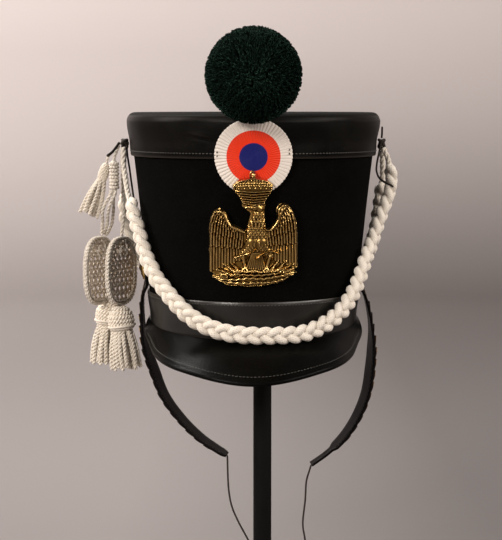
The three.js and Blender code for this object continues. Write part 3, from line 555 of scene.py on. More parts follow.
def geometry_tree(name, *numbers):
    """A Geometry Nodes tree that copies a piece, with named number inputs, and its inner input and output."""
    tree = bpy.data.node_groups.new(name, "GeometryNodeTree")
    tree.interface.new_socket("Geometry", in_out="OUTPUT", socket_type="NodeSocketGeometry")
    kinds = {"Geometry": "Geometry", "Piece": "Object", "Seed": "Int", "Material": "Material"}
    kinds.update(dict.fromkeys(numbers, "Float"))
    for key, kind in kinds.items():
        tree.interface.new_socket(key, in_out="INPUT", socket_type="NodeSocket" + kind)
    return tree, tree.nodes.new("NodeGroupInput").outputs, tree.nodes.new("NodeGroupOutput").inputs


def read_guide(tree, name):
    """The vector that the guide points carry under that name."""
    made = add_node(tree, "GeometryNodeInputNamedAttribute", {"Name": name}, data_type="FLOAT_VECTOR")
    return made.outputs[0]


def aligned(tree, facing, heading):
    """The rotation that turns Z to the facing and X to the heading."""
    both = {0: facing, 1: heading}
    made = add_node(tree, "FunctionNodeAxesToRotation", both, primary_axis="Z", secondary_axis="X")
    return made.outputs[0]


def vector_of(tree, x, y, z):
    return add_node(tree, "ShaderNodeCombineXYZ", {"X": x, "Y": y, "Z": z}).outputs[0]


def leaned(tree, rotation, angles):
    """A rotation turned on by angles about its own axes."""
    lean = add_node(tree, "FunctionNodeEulerToRotation", {0: angles}).outputs[0]
    both = {"Rotation": rotation, "Rotate By": lean}
    return add_node(tree, "FunctionNodeRotateRotation", both, rotation_space="LOCAL").outputs[0]


def random_angles(tree, given, spin):
    """Angles by chance, up to the sway about X and Y and up to the spin about Z."""
    lowest = {"Seed": given["Seed"], 0: (-1, -1, -1)}
    chance = add_node(tree, "FunctionNodeRandomValue", lowest, data_type="FLOAT_VECTOR").outputs[0]
    limits = vector_of(tree, given["Sway"], given["Sway"], spin)
    both = {0: chance, 1: limits}
    return add_node(tree, "ShaderNodeVectorMath", both, operation="MULTIPLY").outputs[0]


def place_copies(tree, result, given, points, rotation, size):
    """Copies of the piece on points, each with a tint by chance, made real and given their material."""
    piece = add_node(tree, "GeometryNodeObjectInfo", {"Object": given["Piece"]}).outputs["Geometry"]
    layout = {"Points": points, "Instance": piece, "Rotation": rotation, "Scale": size}
    copies = add_node(tree, "GeometryNodeInstanceOnPoints", layout).outputs[0]
    chance = add_node(tree, "FunctionNodeRandomValue", {"Seed": given["Seed"]}, data_type="FLOAT").outputs[1]
    tint = {"Geometry": copies, "Name": "tint", "Value": chance}
    kind = {"data_type": "FLOAT", "domain": "INSTANCE"}
    tinted = add_node(tree, "GeometryNodeStoreNamedAttribute", tint, **kind).outputs[0]
    real = add_node(tree, "GeometryNodeRealizeInstances", {"Geometry": tinted}).outputs[0]
    cover = {"Geometry": real, "Material": given["Material"]}
    done = add_node(tree, "GeometryNodeSetMaterial", cover).outputs[0]
    tree.links.new(done, result["Geometry"])
    return tree


def make_guide_tree():
    """Copies of a piece on guide points, each turned and sized as its own point says."""
    tree, given, result = geometry_tree("copies_on_guides", "Sway", "Spin")
    upright = aligned(tree, read_guide(tree, "facing"), read_guide(tree, "heading"))
    rotation = leaned(tree, upright, random_angles(tree, given, given["Spin"]))
    points = add_node(tree, "GeometryNodeMeshToPoints", {"Mesh": given["Geometry"]}).outputs[0]
    return place_copies(tree, result, given, points, rotation, read_guide(tree, "size"))


def make_line_tree():
    """Copies of a piece at a pitch along a line that carries its outward direction."""
    tree, given, result = geometry_tree("stitches_along_line", "Pitch", "Length", "Width", "Height", "Slant")
    line = add_node(tree, "GeometryNodeMeshToCurve", {"Mesh": given["Geometry"]}).outputs[0]
    spacing = {"Curve": line, "Length": given["Pitch"]}
    points = add_node(tree, "GeometryNodeCurveToPoints", spacing, mode="LENGTH").outputs
    upright = aligned(tree, read_guide(tree, "facing"), points["Tangent"])
    rotation = leaned(tree, upright, vector_of(tree, 0.0, 0.0, given["Slant"]))
    size = vector_of(tree, given["Length"], given["Width"], given["Height"])
    return place_copies(tree, result, given, points["Points"], rotation, size)


def make_yarn_tree():
    """Yarn ends all over a ball, standing out from its middle with a random lean and length."""
    tree, given, result = geometry_tree("yarn_ends_on_ball", "Density", "Sway", "Shortest", "Longest")
    cover = {"Mesh": given["Geometry"], "Density": given["Density"], "Seed": given["Seed"]}
    points = add_node(tree, "GeometryNodeDistributePointsOnFaces", cover).outputs
    out = {"Vector": points["Normal"]}
    upright = add_node(tree, "FunctionNodeAlignRotationToVector", out, axis="Z").outputs[0]
    rotation = leaned(tree, upright, random_angles(tree, given, math.pi))
    limits = {"Seed": given["Seed"], 2: given["Shortest"], 3: given["Longest"]}
    length = add_node(tree, "FunctionNodeRandomValue", limits, data_type="FLOAT").outputs[1]
    return place_copies(tree, result, given, points["Points"], rotation, vector_of(tree, 1.0, 1.0, length))


guide_tree = make_guide_tree()
line_tree = make_line_tree()
yarn_tree = make_yarn_tree()


def grow(base, tree, **inputs):
    """Runs a tree on an object with those inputs and keeps the result as its plain mesh."""
    modifier = base.modifiers.new("grow", "NODES")
    modifier.node_group = tree
    sockets = {item.name: item.identifier for item in tree.interface.items_tree if item.in_out == "INPUT"}
    for key, value in inputs.items():
        modifier[sockets[key]] = value
    bpy.context.view_layer.update()
    graph = bpy.context.evaluated_depsgraph_get()
    mesh = bpy.data.meshes.new_from_object(
        base.evaluated_get(graph), preserve_all_data_layers=True, depsgraph=graph
    )
    base.modifiers.clear()
    base.data = mesh
    return base


def guides(name, points, edges=(), **vectors):
    """An object of guide points in millimetres that carry vectors by name. Sizes are in metres."""
    mesh = bpy.data.meshes.new(name)
    mesh.from_pydata(in_frame(points).tolist(), list(edges), [])
    for key, values in vectors.items():
        layer = mesh.attributes.new(key, "FLOAT_VECTOR", "POINT")
        layer.data.foreach_set("vector", np.asarray(values, np.float32).ravel())
    return link_object(name, mesh)


template_objects = []


def template(plan, name, material):
    """A small piece that is only copied. It is made about the origin, in metres or as a unit size."""
    made = plan.build(name, material)
    made.data.transform(shift_to_origin)
    template_objects.append(made)
    return made


shift_to_origin = Matrix.Translation(-Vector(HAT_CENTRE))


def unit_stitch():
    """A rounded stitch of unit length, width and height: a thousand of a plan's millimetres."""
    turns = turns_round(8)
    rows = []
    for level in np.linspace(-1, 1, 7):
        reach = 500 * (math.sqrt(max(0.0, 1 - abs(level) ** 2.6)) + 0.02)
        rows.append([[500 * level, reach * math.cos(t), reach * math.sin(t)] for t in turns])
    return template(closed_shell(rows), "stitch_template", white_cord)


stitch = unit_stitch()


# A stitch's pitch, length, width and height.
CAP_STITCH = (3.2, 2.3, 0.8, 0.7)
HEADBAND_STITCH = (3.0, 2.0, 0.6, 0.5)
VISOR_STITCH = (3.0, 2.1, 0.6, 0.5)
STRAP_STITCH = (3.4, 2.3, 0.6, 0.5)


def stitch_row(name, points, facing, sizes, material, slant=0.0, closed=False, seed=1):
    count = len(points)
    edges = [(i, (i + 1) % count) for i in range(count if closed else count - 1)]
    pitch, length, width, height = (size * MM for size in sizes)
    return grow(
        guides(name, points, edges, facing=facing), line_tree, Piece=stitch, Pitch=pitch, Length=length,
        Width=width, Height=height, Slant=slant, Seed=seed, Material=material,
    )


# The hat's oval


def half_width(z):
    """Half of the felt's width at a height."""
    return RIM_HALF_WIDTH + (TOP_HALF_WIDTH - RIM_HALF_WIDTH) * np.asarray(z, float) / CROWN_HEIGHT


def half_length(z):
    """Half of the felt's length from front to back at a height."""
    return RIM_HALF_LENGTH + (TOP_HALF_LENGTH - RIM_HALF_LENGTH) * np.asarray(z, float) / CROWN_HEIGHT


def on_oval(angle, z, outside=0.0):
    """A point that far outside the felt; the angle is 0 at the front and grows towards +X."""
    angle, z, outside = np.broadcast_arrays(angle, z, outside)
    x = (half_width(z) + outside) * np.sin(angle)
    y = -(half_length(z) + outside) * np.cos(angle)
    return np.stack([x, y, z], -1)


def out_of_oval(points):
    """The outward direction of the hat's side at points near it."""
    points = np.asarray(points, float)
    z = points[..., 2]
    flat = np.stack([points[..., 0] / half_width(z) ** 2, points[..., 1] / half_length(z) ** 2, z * 0], -1)
    return unit(flat)


AROUND = turns_round(216)


def oval_band(profile, wobble=None):
    """A closed wall round the oval. Its profile lists a height and a distance outside the felt."""
    plan = MeshPlan()
    rows = []
    for z, outside in profile:
        shift = 0 if wobble is None else wobble(AROUND, z)
        rows.append(on_oval(AROUND, z, outside + shift))
    plan.grid(rows, around=True, loop=True)
    return plan


def felt_body():
    """The felt's wall, open below, with slow waves in its side."""
    top = CROWN_HEIGHT - CAP_LEATHER - GAP - CAP_DISH
    rise = np.linspace(0, top, 36)

    def wobble(angle, z):
        slow = 0.25 * np.sin(3 * angle + z / 31) * np.sin(5 * angle - z / 47)
        return slow * math.sin(math.pi * min(max(z / top, 0), 1))

    profile = [(0.0, -FELT_WALL + 0.6), (0.0, -0.6), *[(z, 0.0) for z in rise[1:]]]
    profile += [(z, -FELT_WALL) for z in rise[:0:-1]]
    plan = oval_band(profile, wobble)
    keep(plan.build("felt_wall", felt), "felt", "felt_body")


def cap_shape(z):
    """How the cap's side swells under its shoulder and draws in below it."""
    return 0.5 * hump(z, 173, 6) - 0.4 * hump(z, 161, 5)


def cap_crease(angle, z):
    """The short crease to the left of the cockade and a few broad, shallow dents."""
    place = (np.degrees(angle) + 180) % 360 - 180
    along = (place + 24.5) / 5.5
    line = 164.5 - 2.2 * along
    crease = 0.6 * hump(z, line + 3.4, 2.4) - 0.9 * hump(z, line, 1.3)
    dents = 0.22 * np.sin(5 * angle + 1) * math.sin(z / 9) + 0.12 * np.sin(11 * angle) * math.sin(z / 5)
    return crease * hump(along, 0, 1) + dents


def leather_cap():
    """The cap: its turned-down side, a rounded shoulder and a slightly dished top, with an inner side."""
    low = CROWN_HEIGHT - CAP_BAND_DEPTH
    ceiling = CROWN_HEIGHT - CAP_DISH - CAP_LEATHER
    side = GAP + CAP_LEATHER
    corner_foot = CROWN_HEIGHT - CAP_CORNER
    rows = [on_oval(AROUND, low, GAP + 0.1), on_oval(AROUND, low, side - 0.5)]
    for z in np.linspace(low + 0.8, corner_foot, 26):
        fade = min(1.0, (z - low) / 5)
        rows.append(on_oval(AROUND, z, side + fade * (cap_shape(z) + cap_crease(AROUND, z))))
    foot = on_oval(AROUND, corner_foot, side)
    inward = -out_of_oval(foot)
    for turn in np.linspace(0, np.pi / 2, 9)[1:]:
        ring = foot + inward * CAP_CORNER * (1 - math.cos(turn))
        rows.append(ring + [0, 0, CAP_CORNER * math.sin(turn)])
    rim = rows[-1]

    def disc(share, z):
        return rim * [share, share, 0] + [0, 0, z]

    for share in (0.97, 0.93, 0.88, 0.8, 0.65, 0.45, 0.25, 0.08):
        rows.append(disc(share, CROWN_HEIGHT - CAP_DISH * (1 - ((share - 0.08) / 0.92) ** 6)))
    under = [disc(share, ceiling) for share in (0.08, 0.5, 0.9)]
    under += [on_oval(AROUND, z, GAP) for z in (ceiling, 160, low)]
    plan = MeshPlan()
    plan.grid(rows, around=True, end_cap=True)
    plan.grid(under, around=True, start_cap=True)
    made = plan.build("cap_leather_shell", cap_leather)
    merge_close(made)
    line = on_oval(AROUND, low + 4.2, side + 0.05)
    row = stitch_row("cap_stitches", line, out_of_oval(line), CAP_STITCH, dark_thread, closed=True)
    keep(made, "cap_leather", "leather_cap")
    keep(row, "cap_leather")


def merge_close(piece):
    """Joins points that lie on each other."""
    shell = bmesh.new()
    shell.from_mesh(piece.data)
    bmesh.ops.remove_doubles(shell, verts=shell.verts, dist=0.01 * MM)
    shell.to_mesh(piece.data)
    shell.free()


def headband():
    """The leather band round the felt's foot, with stitches along its top."""
    top = HEADBAND_HEIGHT
    side = GAP + HEADBAND_LEATHER
    rise = np.linspace(1, top - 1, 14)
    profile = [(0.0, GAP), (0.0, side - 0.6), *[(z, side + 0.15 * math.sin(z / 3)) for z in rise]]
    profile += [(top, side - 0.7), (top, GAP)]
    made = oval_band(profile).build("headband_leather", band_leather)
    line = on_oval(AROUND, top - 2.6, side)
    row = stitch_row(
        "headband_stitches", line, out_of_oval(line), HEADBAND_STITCH, dark_thread, closed=True
    )
    keep(made, "cap_leather", "headband")
    keep(row, "cap_leather")


# The visor round the rim by the angle from the front, as shares of its reach, drop and seam's rise.
VISOR_REACH = 43
VISOR_DROP = 28
VISOR_END_RISE = 8
VISOR_CAMBER = 2.5
VISOR_LEATHER = 3
VISOR_ROWS = {
    "angle": (-28, 0, 28, 50, 63, 77, 90),
    "reach": (0.814, 1, 0.814, 0.407, 0.21, 0.128, 0.02),
    "drop": (0.72, 1, 0.72, 0.49, 0.25, 0.01, -0.26),
    "seam": (0.03, 0, 0.03, 0.18, 0.34, 0.62, 1),
}


def read_rows(rows, place, column):
    """A value between a table's rows, on a smooth curve."""
    at, values = np.asarray(rows["angle"], float), np.asarray(rows[column], float)
    i = int(np.clip(np.searchsorted(at, place, side="right") - 1, 0, len(at) - 2))
    span = at[i + 1] - at[i]
    t = min(max((place - at[i]) / span, 0.0), 1.0)
    before, after = max(i - 1, 0), min(i + 2, len(at) - 1)
    slope_from = (values[i + 1] - values[before]) / (at[i + 1] - at[before]) * span
    slope_to = (values[after] - values[i]) / (at[after] - at[i]) * span
    rest = t * (1 - t)
    ends = values[i] * (1 + 2 * t) * (1 - t) ** 2 + values[i + 1] * t * t * (3 - 2 * t)
    return ends + slope_from * rest * (1 - t) - slope_to * rest * t


def visor():
    """The visor's sheet from one end to the other: its upper side, a rounded edge and its underside."""
    loops = []
    for degrees in np.linspace(-90, 90, 121):
        angle = math.radians(degrees)
        reach = VISOR_REACH * read_rows(VISOR_ROWS, abs(degrees), "reach")
        edge = -VISOR_DROP * read_rows(VISOR_ROWS, abs(degrees), "drop")
        seam = VISOR_END_RISE * read_rows(VISOR_ROWS, abs(degrees), "seam")
        start = on_oval(angle, seam, 2 * GAP + HEADBAND_LEATHER)
        out = np.array([math.sin(angle), -math.cos(angle), 0])
        slope = math.atan2(seam - edge, reach)
        thick = VISOR_LEATHER / max(math.cos(slope), 0.55)
        upper = []
        for t in np.linspace(0, 1, 22):
            camber = VISOR_CAMBER * math.sin(math.pi * t) * reach / VISOR_REACH
            bead = 0.5 * hump((1 - t) * reach, 2.2, 1.1) * min(1, reach / 12)
            upper.append(start + out * reach * t + np.array([0, 0, (edge - seam) * t + camber + bead]))
        tip = upper[-1]
        rounding = []
        for turn in np.linspace(0.15, 0.85, 5) * math.pi:
            lift = thick / 2 * (math.cos(turn) - 1)
            rounding.append(tip + out * 0.9 * math.sin(turn) * min(1, reach / 6) + np.array([0, 0, lift]))
        lower = [point - np.array([0, 0, thick]) for point in upper[::-1]]
        loops.append(upper + rounding + lower)
    loops = np.array(loops)
    made = closed_shell(loops[::-1]).build("visor_leather_sheet", visor_leather)
    keep(made, "visor_leather", "visor")
    # The stitches run along a line just inside the edge and stop short of both ends.
    lip = loops[14:-14, 19]
    facing = np.tile([0.0, -0.5, 0.85], (len(lip), 1))
    row = stitch_row("visor_stitches", lip, facing, VISOR_STITCH, dark_thread)
    keep(row, "visor_leather")


# Cockade: a pleated disc that leans on the cap's edge.
COCKADE_RADIUS = 31.5
COCKADE_THICKNESS = 1.8
COCKADE_Z = 150
FELT_SLOPE = math.atan2(TOP_HALF_LENGTH - RIM_HALF_LENGTH, CROWN_HEIGHT)
FRONT_BEND = TOP_HALF_WIDTH**2 / TOP_HALF_LENGTH
COCKADE_FOOT = COCKADE_Z - COCKADE_RADIUS
COCKADE_LEAN = math.atan2(GAP + CAP_LEATHER, CROWN_HEIGHT - CAP_BAND_DEPTH - COCKADE_FOOT)


def cockade_back(z):
    return float(half_length(z)) + 2 * GAP + max(z - COCKADE_FOOT, 0) * math.tan(COCKADE_LEAN)


def on_front(x, z, height, lean, foot):
    """A point of a sheet bent like the hat's front: x across, z up it and a height off its back."""
    x, z, height = np.broadcast_arrays(x, z, height)
    depth = -(np.sqrt((FRONT_BEND + height) ** 2 - x**2) - FRONT_BEND)
    y = depth * math.cos(lean) - z * math.sin(lean)
    up = depth * math.sin(lean) + z * math.cos(lean)
    return np.stack([x, y + foot[1], up + foot[2]], -1)


def cockade():
    """A disc of pleats with a plain edge and back, sewn on with a pair of stitches at each side."""
    lean = FELT_SLOPE + COCKADE_LEAN
    foot = (0, -cockade_back(COCKADE_Z), COCKADE_Z)
    turns = turns_round(PLEATS * 6)
    shares = np.concatenate([[0.01, 0.06], np.linspace(0.12, 0.985, 26)])
    pleat = np.abs(np.sin(turns * PLEATS / 2)) ** 0.6

    def ring(reach, height):
        return on_front(reach * np.cos(turns), reach * np.sin(turns), height, lean, foot)

    rows = []
    for share in shares:
        height = COCKADE_THICKNESS - 0.55 + 0.4 * share * pleat + 0.25 * hump(share, 0, 0.05)
        rows.append(ring(COCKADE_RADIUS * share, height))
    edge = COCKADE_RADIUS * (0.985 + 0.015 * pleat)
    rows += [ring(edge, level * COCKADE_THICKNESS) for level in (0.8, 0.3)]
    rows += [ring(COCKADE_RADIUS * 0.99, 0.0), ring(0.3, 0.0)]
    places = np.concatenate([shares, [1, 1, 1, 0.99]])
    u, v = np.meshgrid(np.arange(len(turns) + 1) / len(turns), places)
    plan = closed_shell(np.array(rows)[::-1], np.stack([v, u], -1)[::-1])
    keep(plan.build("cockade_disc", cockade_paint), "cockade", "cockade")
    marks = np.array([[-29.2, -0.2], [-29.2, 3.0], [28.8, 2.0], [28.8, 5.2]])
    points = on_front(marks[:, 0], marks[:, 1], COCKADE_THICKNESS, lean, foot)
    stitches = guides(
        "cockade_stitches", points, facing=[[0, -1.0, 0.1]] * 4, heading=[[0.25, 0, 1.0]] * 4,
        size=[[1.9 * MM, 0.8 * MM, 0.8 * MM]] * 4,
    )
    grow(stitches, guide_tree, Piece=stitch, Sway=0.2, Spin=0.4, Seed=4, Material=strap_leather)
    keep(stitches, "cockade")


# Eagle plate: relief pressed from sheet. Places are millimetres across and up the plate from its foot.
PLATE_BASE = 44.5
PLATE_WIDTH = 72
PLATE_HEIGHT = 97
PLATE_STEP = 0.36
PLATE_EDGE = 0.6


def plate_relief(x, z):
    """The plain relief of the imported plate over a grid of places, and where the plate is."""
    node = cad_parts["eagle_plate"]
    node.data.calc_loop_triangles()
    corners = np.array([v.co for v in node.data.vertices])[
        np.array([t.vertices[:] for t in node.data.loop_triangles])
    ]
    corners = (corners - HAT_CENTRE) / MM - PLATE_FOOT
    turn = -PLATE_LEAN
    y = corners[..., 1] * math.cos(turn) - corners[..., 2] * math.sin(turn)
    up = corners[..., 1] * math.sin(turn) + corners[..., 2] * math.cos(turn)
    across = corners[..., 0]
    height = np.sqrt(across**2 + (y - FRONT_BEND) ** 2) - FRONT_BEND
    relief = np.full(x.shape, -1.0)
    for a, b, h in zip(across, up, height):
        area = (a[1] - a[0]) * (b[2] - b[0]) - (a[2] - a[0]) * (b[1] - b[0])
        if abs(area) < 1e-6:
            continue
        columns = slice(*np.searchsorted(x[0], (a.min(), a.max())) + np.array([0, 1]))
        rows = slice(*np.searchsorted(z[:, 0], (b.min(), b.max())) + np.array([0, 1]))
        px, pz = x[rows, columns], z[rows, columns]
        s = ((px - a[0]) * (b[2] - b[0]) - (a[2] - a[0]) * (pz - b[0])) / area
        t = ((a[1] - a[0]) * (pz - b[0]) - (px - a[0]) * (b[1] - b[0])) / area
        inside = (s >= -1e-6) & (t >= -1e-6) & (s + t <= 1 + 1e-6)
        level = h[0] + s * (h[1] - h[0]) + t * (h[2] - h[0])
        before = relief[rows, columns]
        relief[rows, columns] = np.where(inside, np.maximum(before, level), before)
    return relief, relief > 0.2


def soften(values, cells):
    """Blurs a grid of values by that many cells."""
    reach = int(3 * cells)
    kernel = np.exp(-0.5 * (np.arange(-reach, reach + 1) / cells) ** 2)
    kernel /= kernel.sum()
    values = np.apply_along_axis(lambda line: np.convolve(line, kernel, "same"), 0, values)
    return np.apply_along_axis(lambda line: np.convolve(line, kernel, "same"), 1, values)


class Relief:
    """A grid of heights over the plate that strokes raise."""

    def __init__(self, x, z):
        self.x, self.z = x, z
        self.height = np.zeros(x.shape)

    def stroke(self, points, radius, height, sharp=0.5):
        """A rounded bar along points. Radius and height run from a first to a last value."""
        points = np.asarray(points, float)
        along = lengths_along(points) / max(lengths_along(points)[-1], 1e-9)
        radii = np.interp(along, [0, 1], np.broadcast_to(radius, 2))
        heights = np.interp(along, [0, 1], np.broadcast_to(height, 2))
        for i in range(len(points) - 1):
            reach = max(radii[i], radii[i + 1])
            low = np.minimum(points[i], points[i + 1]) - reach
            high = np.maximum(points[i], points[i + 1]) + reach
            columns = slice(*np.searchsorted(self.x[0], (low[0], high[0])))
            rows = slice(*np.searchsorted(self.z[:, 0], (low[1], high[1])))
            px, pz = self.x[rows, columns], self.z[rows, columns]
            step = points[i + 1] - points[i]
            share = ((px - points[i][0]) * step[0] + (pz - points[i][1]) * step[1]) / max(step @ step, 1e-9)
            share = np.clip(share, 0, 1)
            away = np.hypot(px - points[i][0] - share * step[0], pz - points[i][1] - share * step[1])
            wide = radii[i] + share * (radii[i + 1] - radii[i])
            tall = heights[i] + share * (heights[i + 1] - heights[i])
            level = tall * np.clip(1 - (away / wide) ** 2, 0, 1) ** sharp
            self.height[rows, columns] = np.maximum(self.height[rows, columns], level)

    def dot(self, x, z, radius, height):
        self.stroke([[x, z], [x, z + 0.01]], radius, height)


CLEAR_OF_COCKADE = cockade_back(PLATE_BASE + PLATE_HEIGHT) + COCKADE_THICKNESS + GAP
PLATE_LEAN = FELT_SLOPE + math.atan2(
    CLEAR_OF_COCKADE - float(half_length(PLATE_BASE + PLATE_HEIGHT)), PLATE_HEIGHT
)
PLATE_FOOT = np.array([0, -(float(half_length(PLATE_BASE)) + 2 * GAP), PLATE_BASE])


# Tiers of wing feathers from the long ones up to the shoulder. Places run from the outer edge inwards.
# A row gives how many there are, the first and last root, the first and last tip, and the heights of both.
FEATHERS = (
    (12, ((32.6, 48), (9.5, 41)), ((34.2, 11.5), (8.5, 23)), (0.8, 1.4)),
    (12, ((32.2, 56), (9, 45)), ((34, 33), (9.5, 32)), (1.3, 2.4)),
    (11, ((30.6, 61), (11.5, 48.5)), ((33.4, 44.5), (10.5, 39.5)), (1.9, 3.1)),
    (10, ((28, 64), (15, 51.5)), ((31.8, 53), (14, 45.5)), (2.5, 3.7)),
    (7, ((25.5, 65), (18.5, 57)), ((29, 59.5), (18.4, 52)), (3.0, 4.2)),
)


def between(ends, share):
    return np.array(ends[0]) * (1 - share) + np.array(ends[1]) * share


WING_SHOULDER = ((20.8, 61.6), (22.4, 65), (25.2, 66.4), (28.6, 65.2), (32, 60.8), (34.2, 53))
WING_INNER_EDGE = ((21, 61.5), (17.6, 54), (13, 49.4), (7.6, 46.6))


def wing(relief, side, shift):
    """One wing: tiers of ribbed feathers that overlap like tiles, below a curled shoulder."""
    def place(points):
        return [[side * x + shift[0], z + shift[1]] for x, z in points]

    for count, roots, tips, (low, tall) in FEATHERS:
        for i in range(count):
            share = i / (count - 1)
            root = between(roots, share)
            tip = between(tips, share) + [0, 1.1 * (i % 2)]
            bend = (root + tip) / 2 + [1.2 - 2.2 * share, 0]
            steps = np.linspace(0, 1, 7)[:, None]
            line = place(root * (1 - steps) ** 2 + 2 * bend * steps * (1 - steps) + tip * steps * steps)
            relief.stroke(line, (0.95, 1.35), (low, tall), 0.7)
            relief.stroke(line, (0.35, 0.3), (low + 0.4, tall + 0.3), 1.0)
    relief.stroke(place(WING_SHOULDER), (2.2, 1.3), (6.4, 4.4))
    relief.dot(*place([(22, 63.2)])[0], 2.3, 6.6)
    relief.stroke(place(WING_INNER_EDGE), (1.7, 1.4), (5.8, 4.8))


# Strokes of the eagle: places along each, then its first and last radius and its first and last height.
HEAD_STROKES = (
    (((0.5, 65.8), (3.4, 66.6), (5.2, 64.6)), (2.4, 2.6), (2.8, 2.2)),
    (((-1, 66.2), (-5.2, 66.4), (-7.4, 64.8)), (1.7, 0.5), (3.2, 1.8)),
    (((-2.6, 67.3), (1.2, 68)), (0.5, 0.5), (3.6, 3.0)),
)
CLAW_STROKES = (
    (((-15, 24.6), (-9, 26.8), (-3.3, 28.8)), (0.8, 0.9), (3.6, 4.6)),
    (((2.5, 24.2), (6.5, 27.6), (11.5, 30), (16, 29.6), (20.5, 27.8)), (0.8, 0.7), (4.0, 4.2)),
)
LEGS = (((-1, 36), (-8.5, 25.5), 0.9), ((6.5, 36), (13.5, 25.5), -0.9))


def eagle_body(relief):
    """Scaled breast and neck, head with beak, tail, feathered thighs and feet."""
    for row in range(17):
        z = 60.5 - row * 1.85
        wide = float(np.interp(z, [30, 38, 48, 56, 61], [5, 8.5, 8.8, 4.8, 3.8]))
        middle = float(np.interp(z, [30, 48, 61], [2, 3, 4]))
        tall = float(np.interp(z, [34, 44, 52], [-0.5, 0.6, 0.2]))
        count = max(2, int(wide / 1.3))
        for i in range(count):
            x = middle + (i - (count - 1) / 2 + (row % 2) * 0.5) * 2 * wide / count
            relief.stroke([[x, z + 0.8], [x, z - 0.8]], (1.3, 0.9), (0.8 + tall, 1.3 + tall))
    for n in range(9):
        share = n / 8
        relief.stroke([[-1 + 7 * share, 28], [-5.5 + 15 * share, 14.5]], 1.0, (1.2, 1.6))
    for hip, knee, lift in LEGS:
        relief.stroke([hip, knee], (5.2, 4.0), (2.2, 1.8))
        for row in range(5):
            for column in (-1, 0, 1):
                x, z = between((hip, knee), (row + 0.5) / 5) + [column * 2.4, column * lift]
                relief.stroke([[x, z + 1], [x, z - 1.2]], (1.2, 0.7), (2.3, 2.7))
        foot = [knee[0] * 0.8, 16.5]
        relief.stroke([knee, foot], (1.9, 1.3), (3.4, 3.0))
        for toe in (-3.4, -0.6, 2.4):
            relief.stroke([foot, [foot[0] + toe, foot[1] - 3.2]], (1.1, 0.7), (3.9, 3.4))
    for points, radius, height in (*HEAD_STROKES, *CLAW_STROKES):
        relief.stroke(points, radius, height)
    relief.dot(0.9, 66.3, 0.7, 4.0)


def crown_on_head(relief):
    """Closed crown: ribbed tiers, a beaded dome with a bright rim, and an orb with a cross."""
    for z, half in ((79, 14.6), (76.9, 13), (74.8, 11.4), (72.7, 10.2), (70.7, 9.2), (68.9, 8.4)):
        relief.stroke([[0.3 - half, z + 0.5], [0.3, z - 0.4], [0.3 + half, z + 0.5]], 0.85, 2.4)
    relief.stroke([(-11, 83.5), (12, 83.5)], 5, 2.4)
    for z, half, tall in ((81, 14.2, 2.6), (83.1, 14.6, 2.9), (85.2, 12.8, 3.0), (87.2, 9, 2.8)):
        count = int(half / 0.95)
        for n in range(count):
            share = 2 * n / (count - 1) - 1
            relief.dot(0.5 + half * share, z + 0.8 * (1 - share * share), 1.0, tall + 0.4 * (n % 2))
    rim = [(-15.6, 80.4), (-15.9, 83.4), (-13.4, 86.4), (-7.5, 88.6), (0.5, 89.6), (8.6, 88.6), (14.6, 86.4)]
    relief.stroke([*rim, (17.2, 83.4), (16.8, 80.4)], 1.0, 3.5)
    relief.dot(0.4, 92.7, 2.7, 5.2)
    relief.stroke([[-1.9, 91.2], [2.7, 91.2]], 0.4, 4.6, 1.0)
    relief.stroke([[0.4, 94.5], [0.4, 96.7]], 0.8, 3.6)
    relief.stroke([[-0.9, 95.7], [1.7, 95.7]], 0.7, 3.6)


def thunderbolt(relief):
    """The bolt under the feet: bound rays over a plain edge, with flames and darts at its ends."""
    rays = (
        ([(-16, 12.6), (-4, 13.4), (8, 13), (18, 13.8)], 1.3, 3.2),
        ([(-26, 9.8), (-12, 10.6), (3, 10), (18, 11.2), (30, 12.4)], 1.0, 2.3),
        ([(-30, 6.2), (-16, 6.2), (-4, 7.6), (8, 7.2), (20, 8.8), (32, 9.6)], 1.2, 3.0),
        ([(-25, 3.4), (-10, 2.8), (3, 3.2), (16, 3.6), (28, 6.4)], 1.3, 1.6),
        ([(-22.6, 0.9), (-8, 0.3), (2.5, 0.2), (16, 1.6), (28.5, 5.3)], 0.7, 1.6),
    )
    for line, wide, tall in rays:
        path = smooth_route([(x, z, 0) for x, z in line], 1.0)[:, :2]
        wave = 0.35 * np.sin(lengths_along(path) * 1.1)
        relief.stroke(path + np.stack([wave * 0, wave], 1), wide, tall)
    for n in range(17):
        relief.dot(-15 + 2 * n, 13.4 + 0.5 * math.sin(n), 1.0, 4.0)
    flames = (
        (-15, 12.5, -24.5, 18), (-18, 10, -30, 13.4), (-22, 8, -33.4, 6.4), (-12, 13, -18, 19),
        (20, 14, 27, 20.8), (22, 13, 33, 18), (25, 12, 37.4, 15.2), (26, 10, 37.4, 10.4),
        (15, 14.5, 20, 21), (-28, 5, -22, 1.5),
    )
    for x0, z0, x1, z1 in flames:
        middle = [(x0 + x1) / 2, (z0 + z1) / 2 + 0.9]
        relief.stroke([[x0, z0], middle, [x1, z1]], (1.9, 0.6), (3.2, 1.9))
        relief.stroke([[x0, z0], middle, [x1, z1]], (0.4, 0.3), (3.9, 2.4), 1.0)


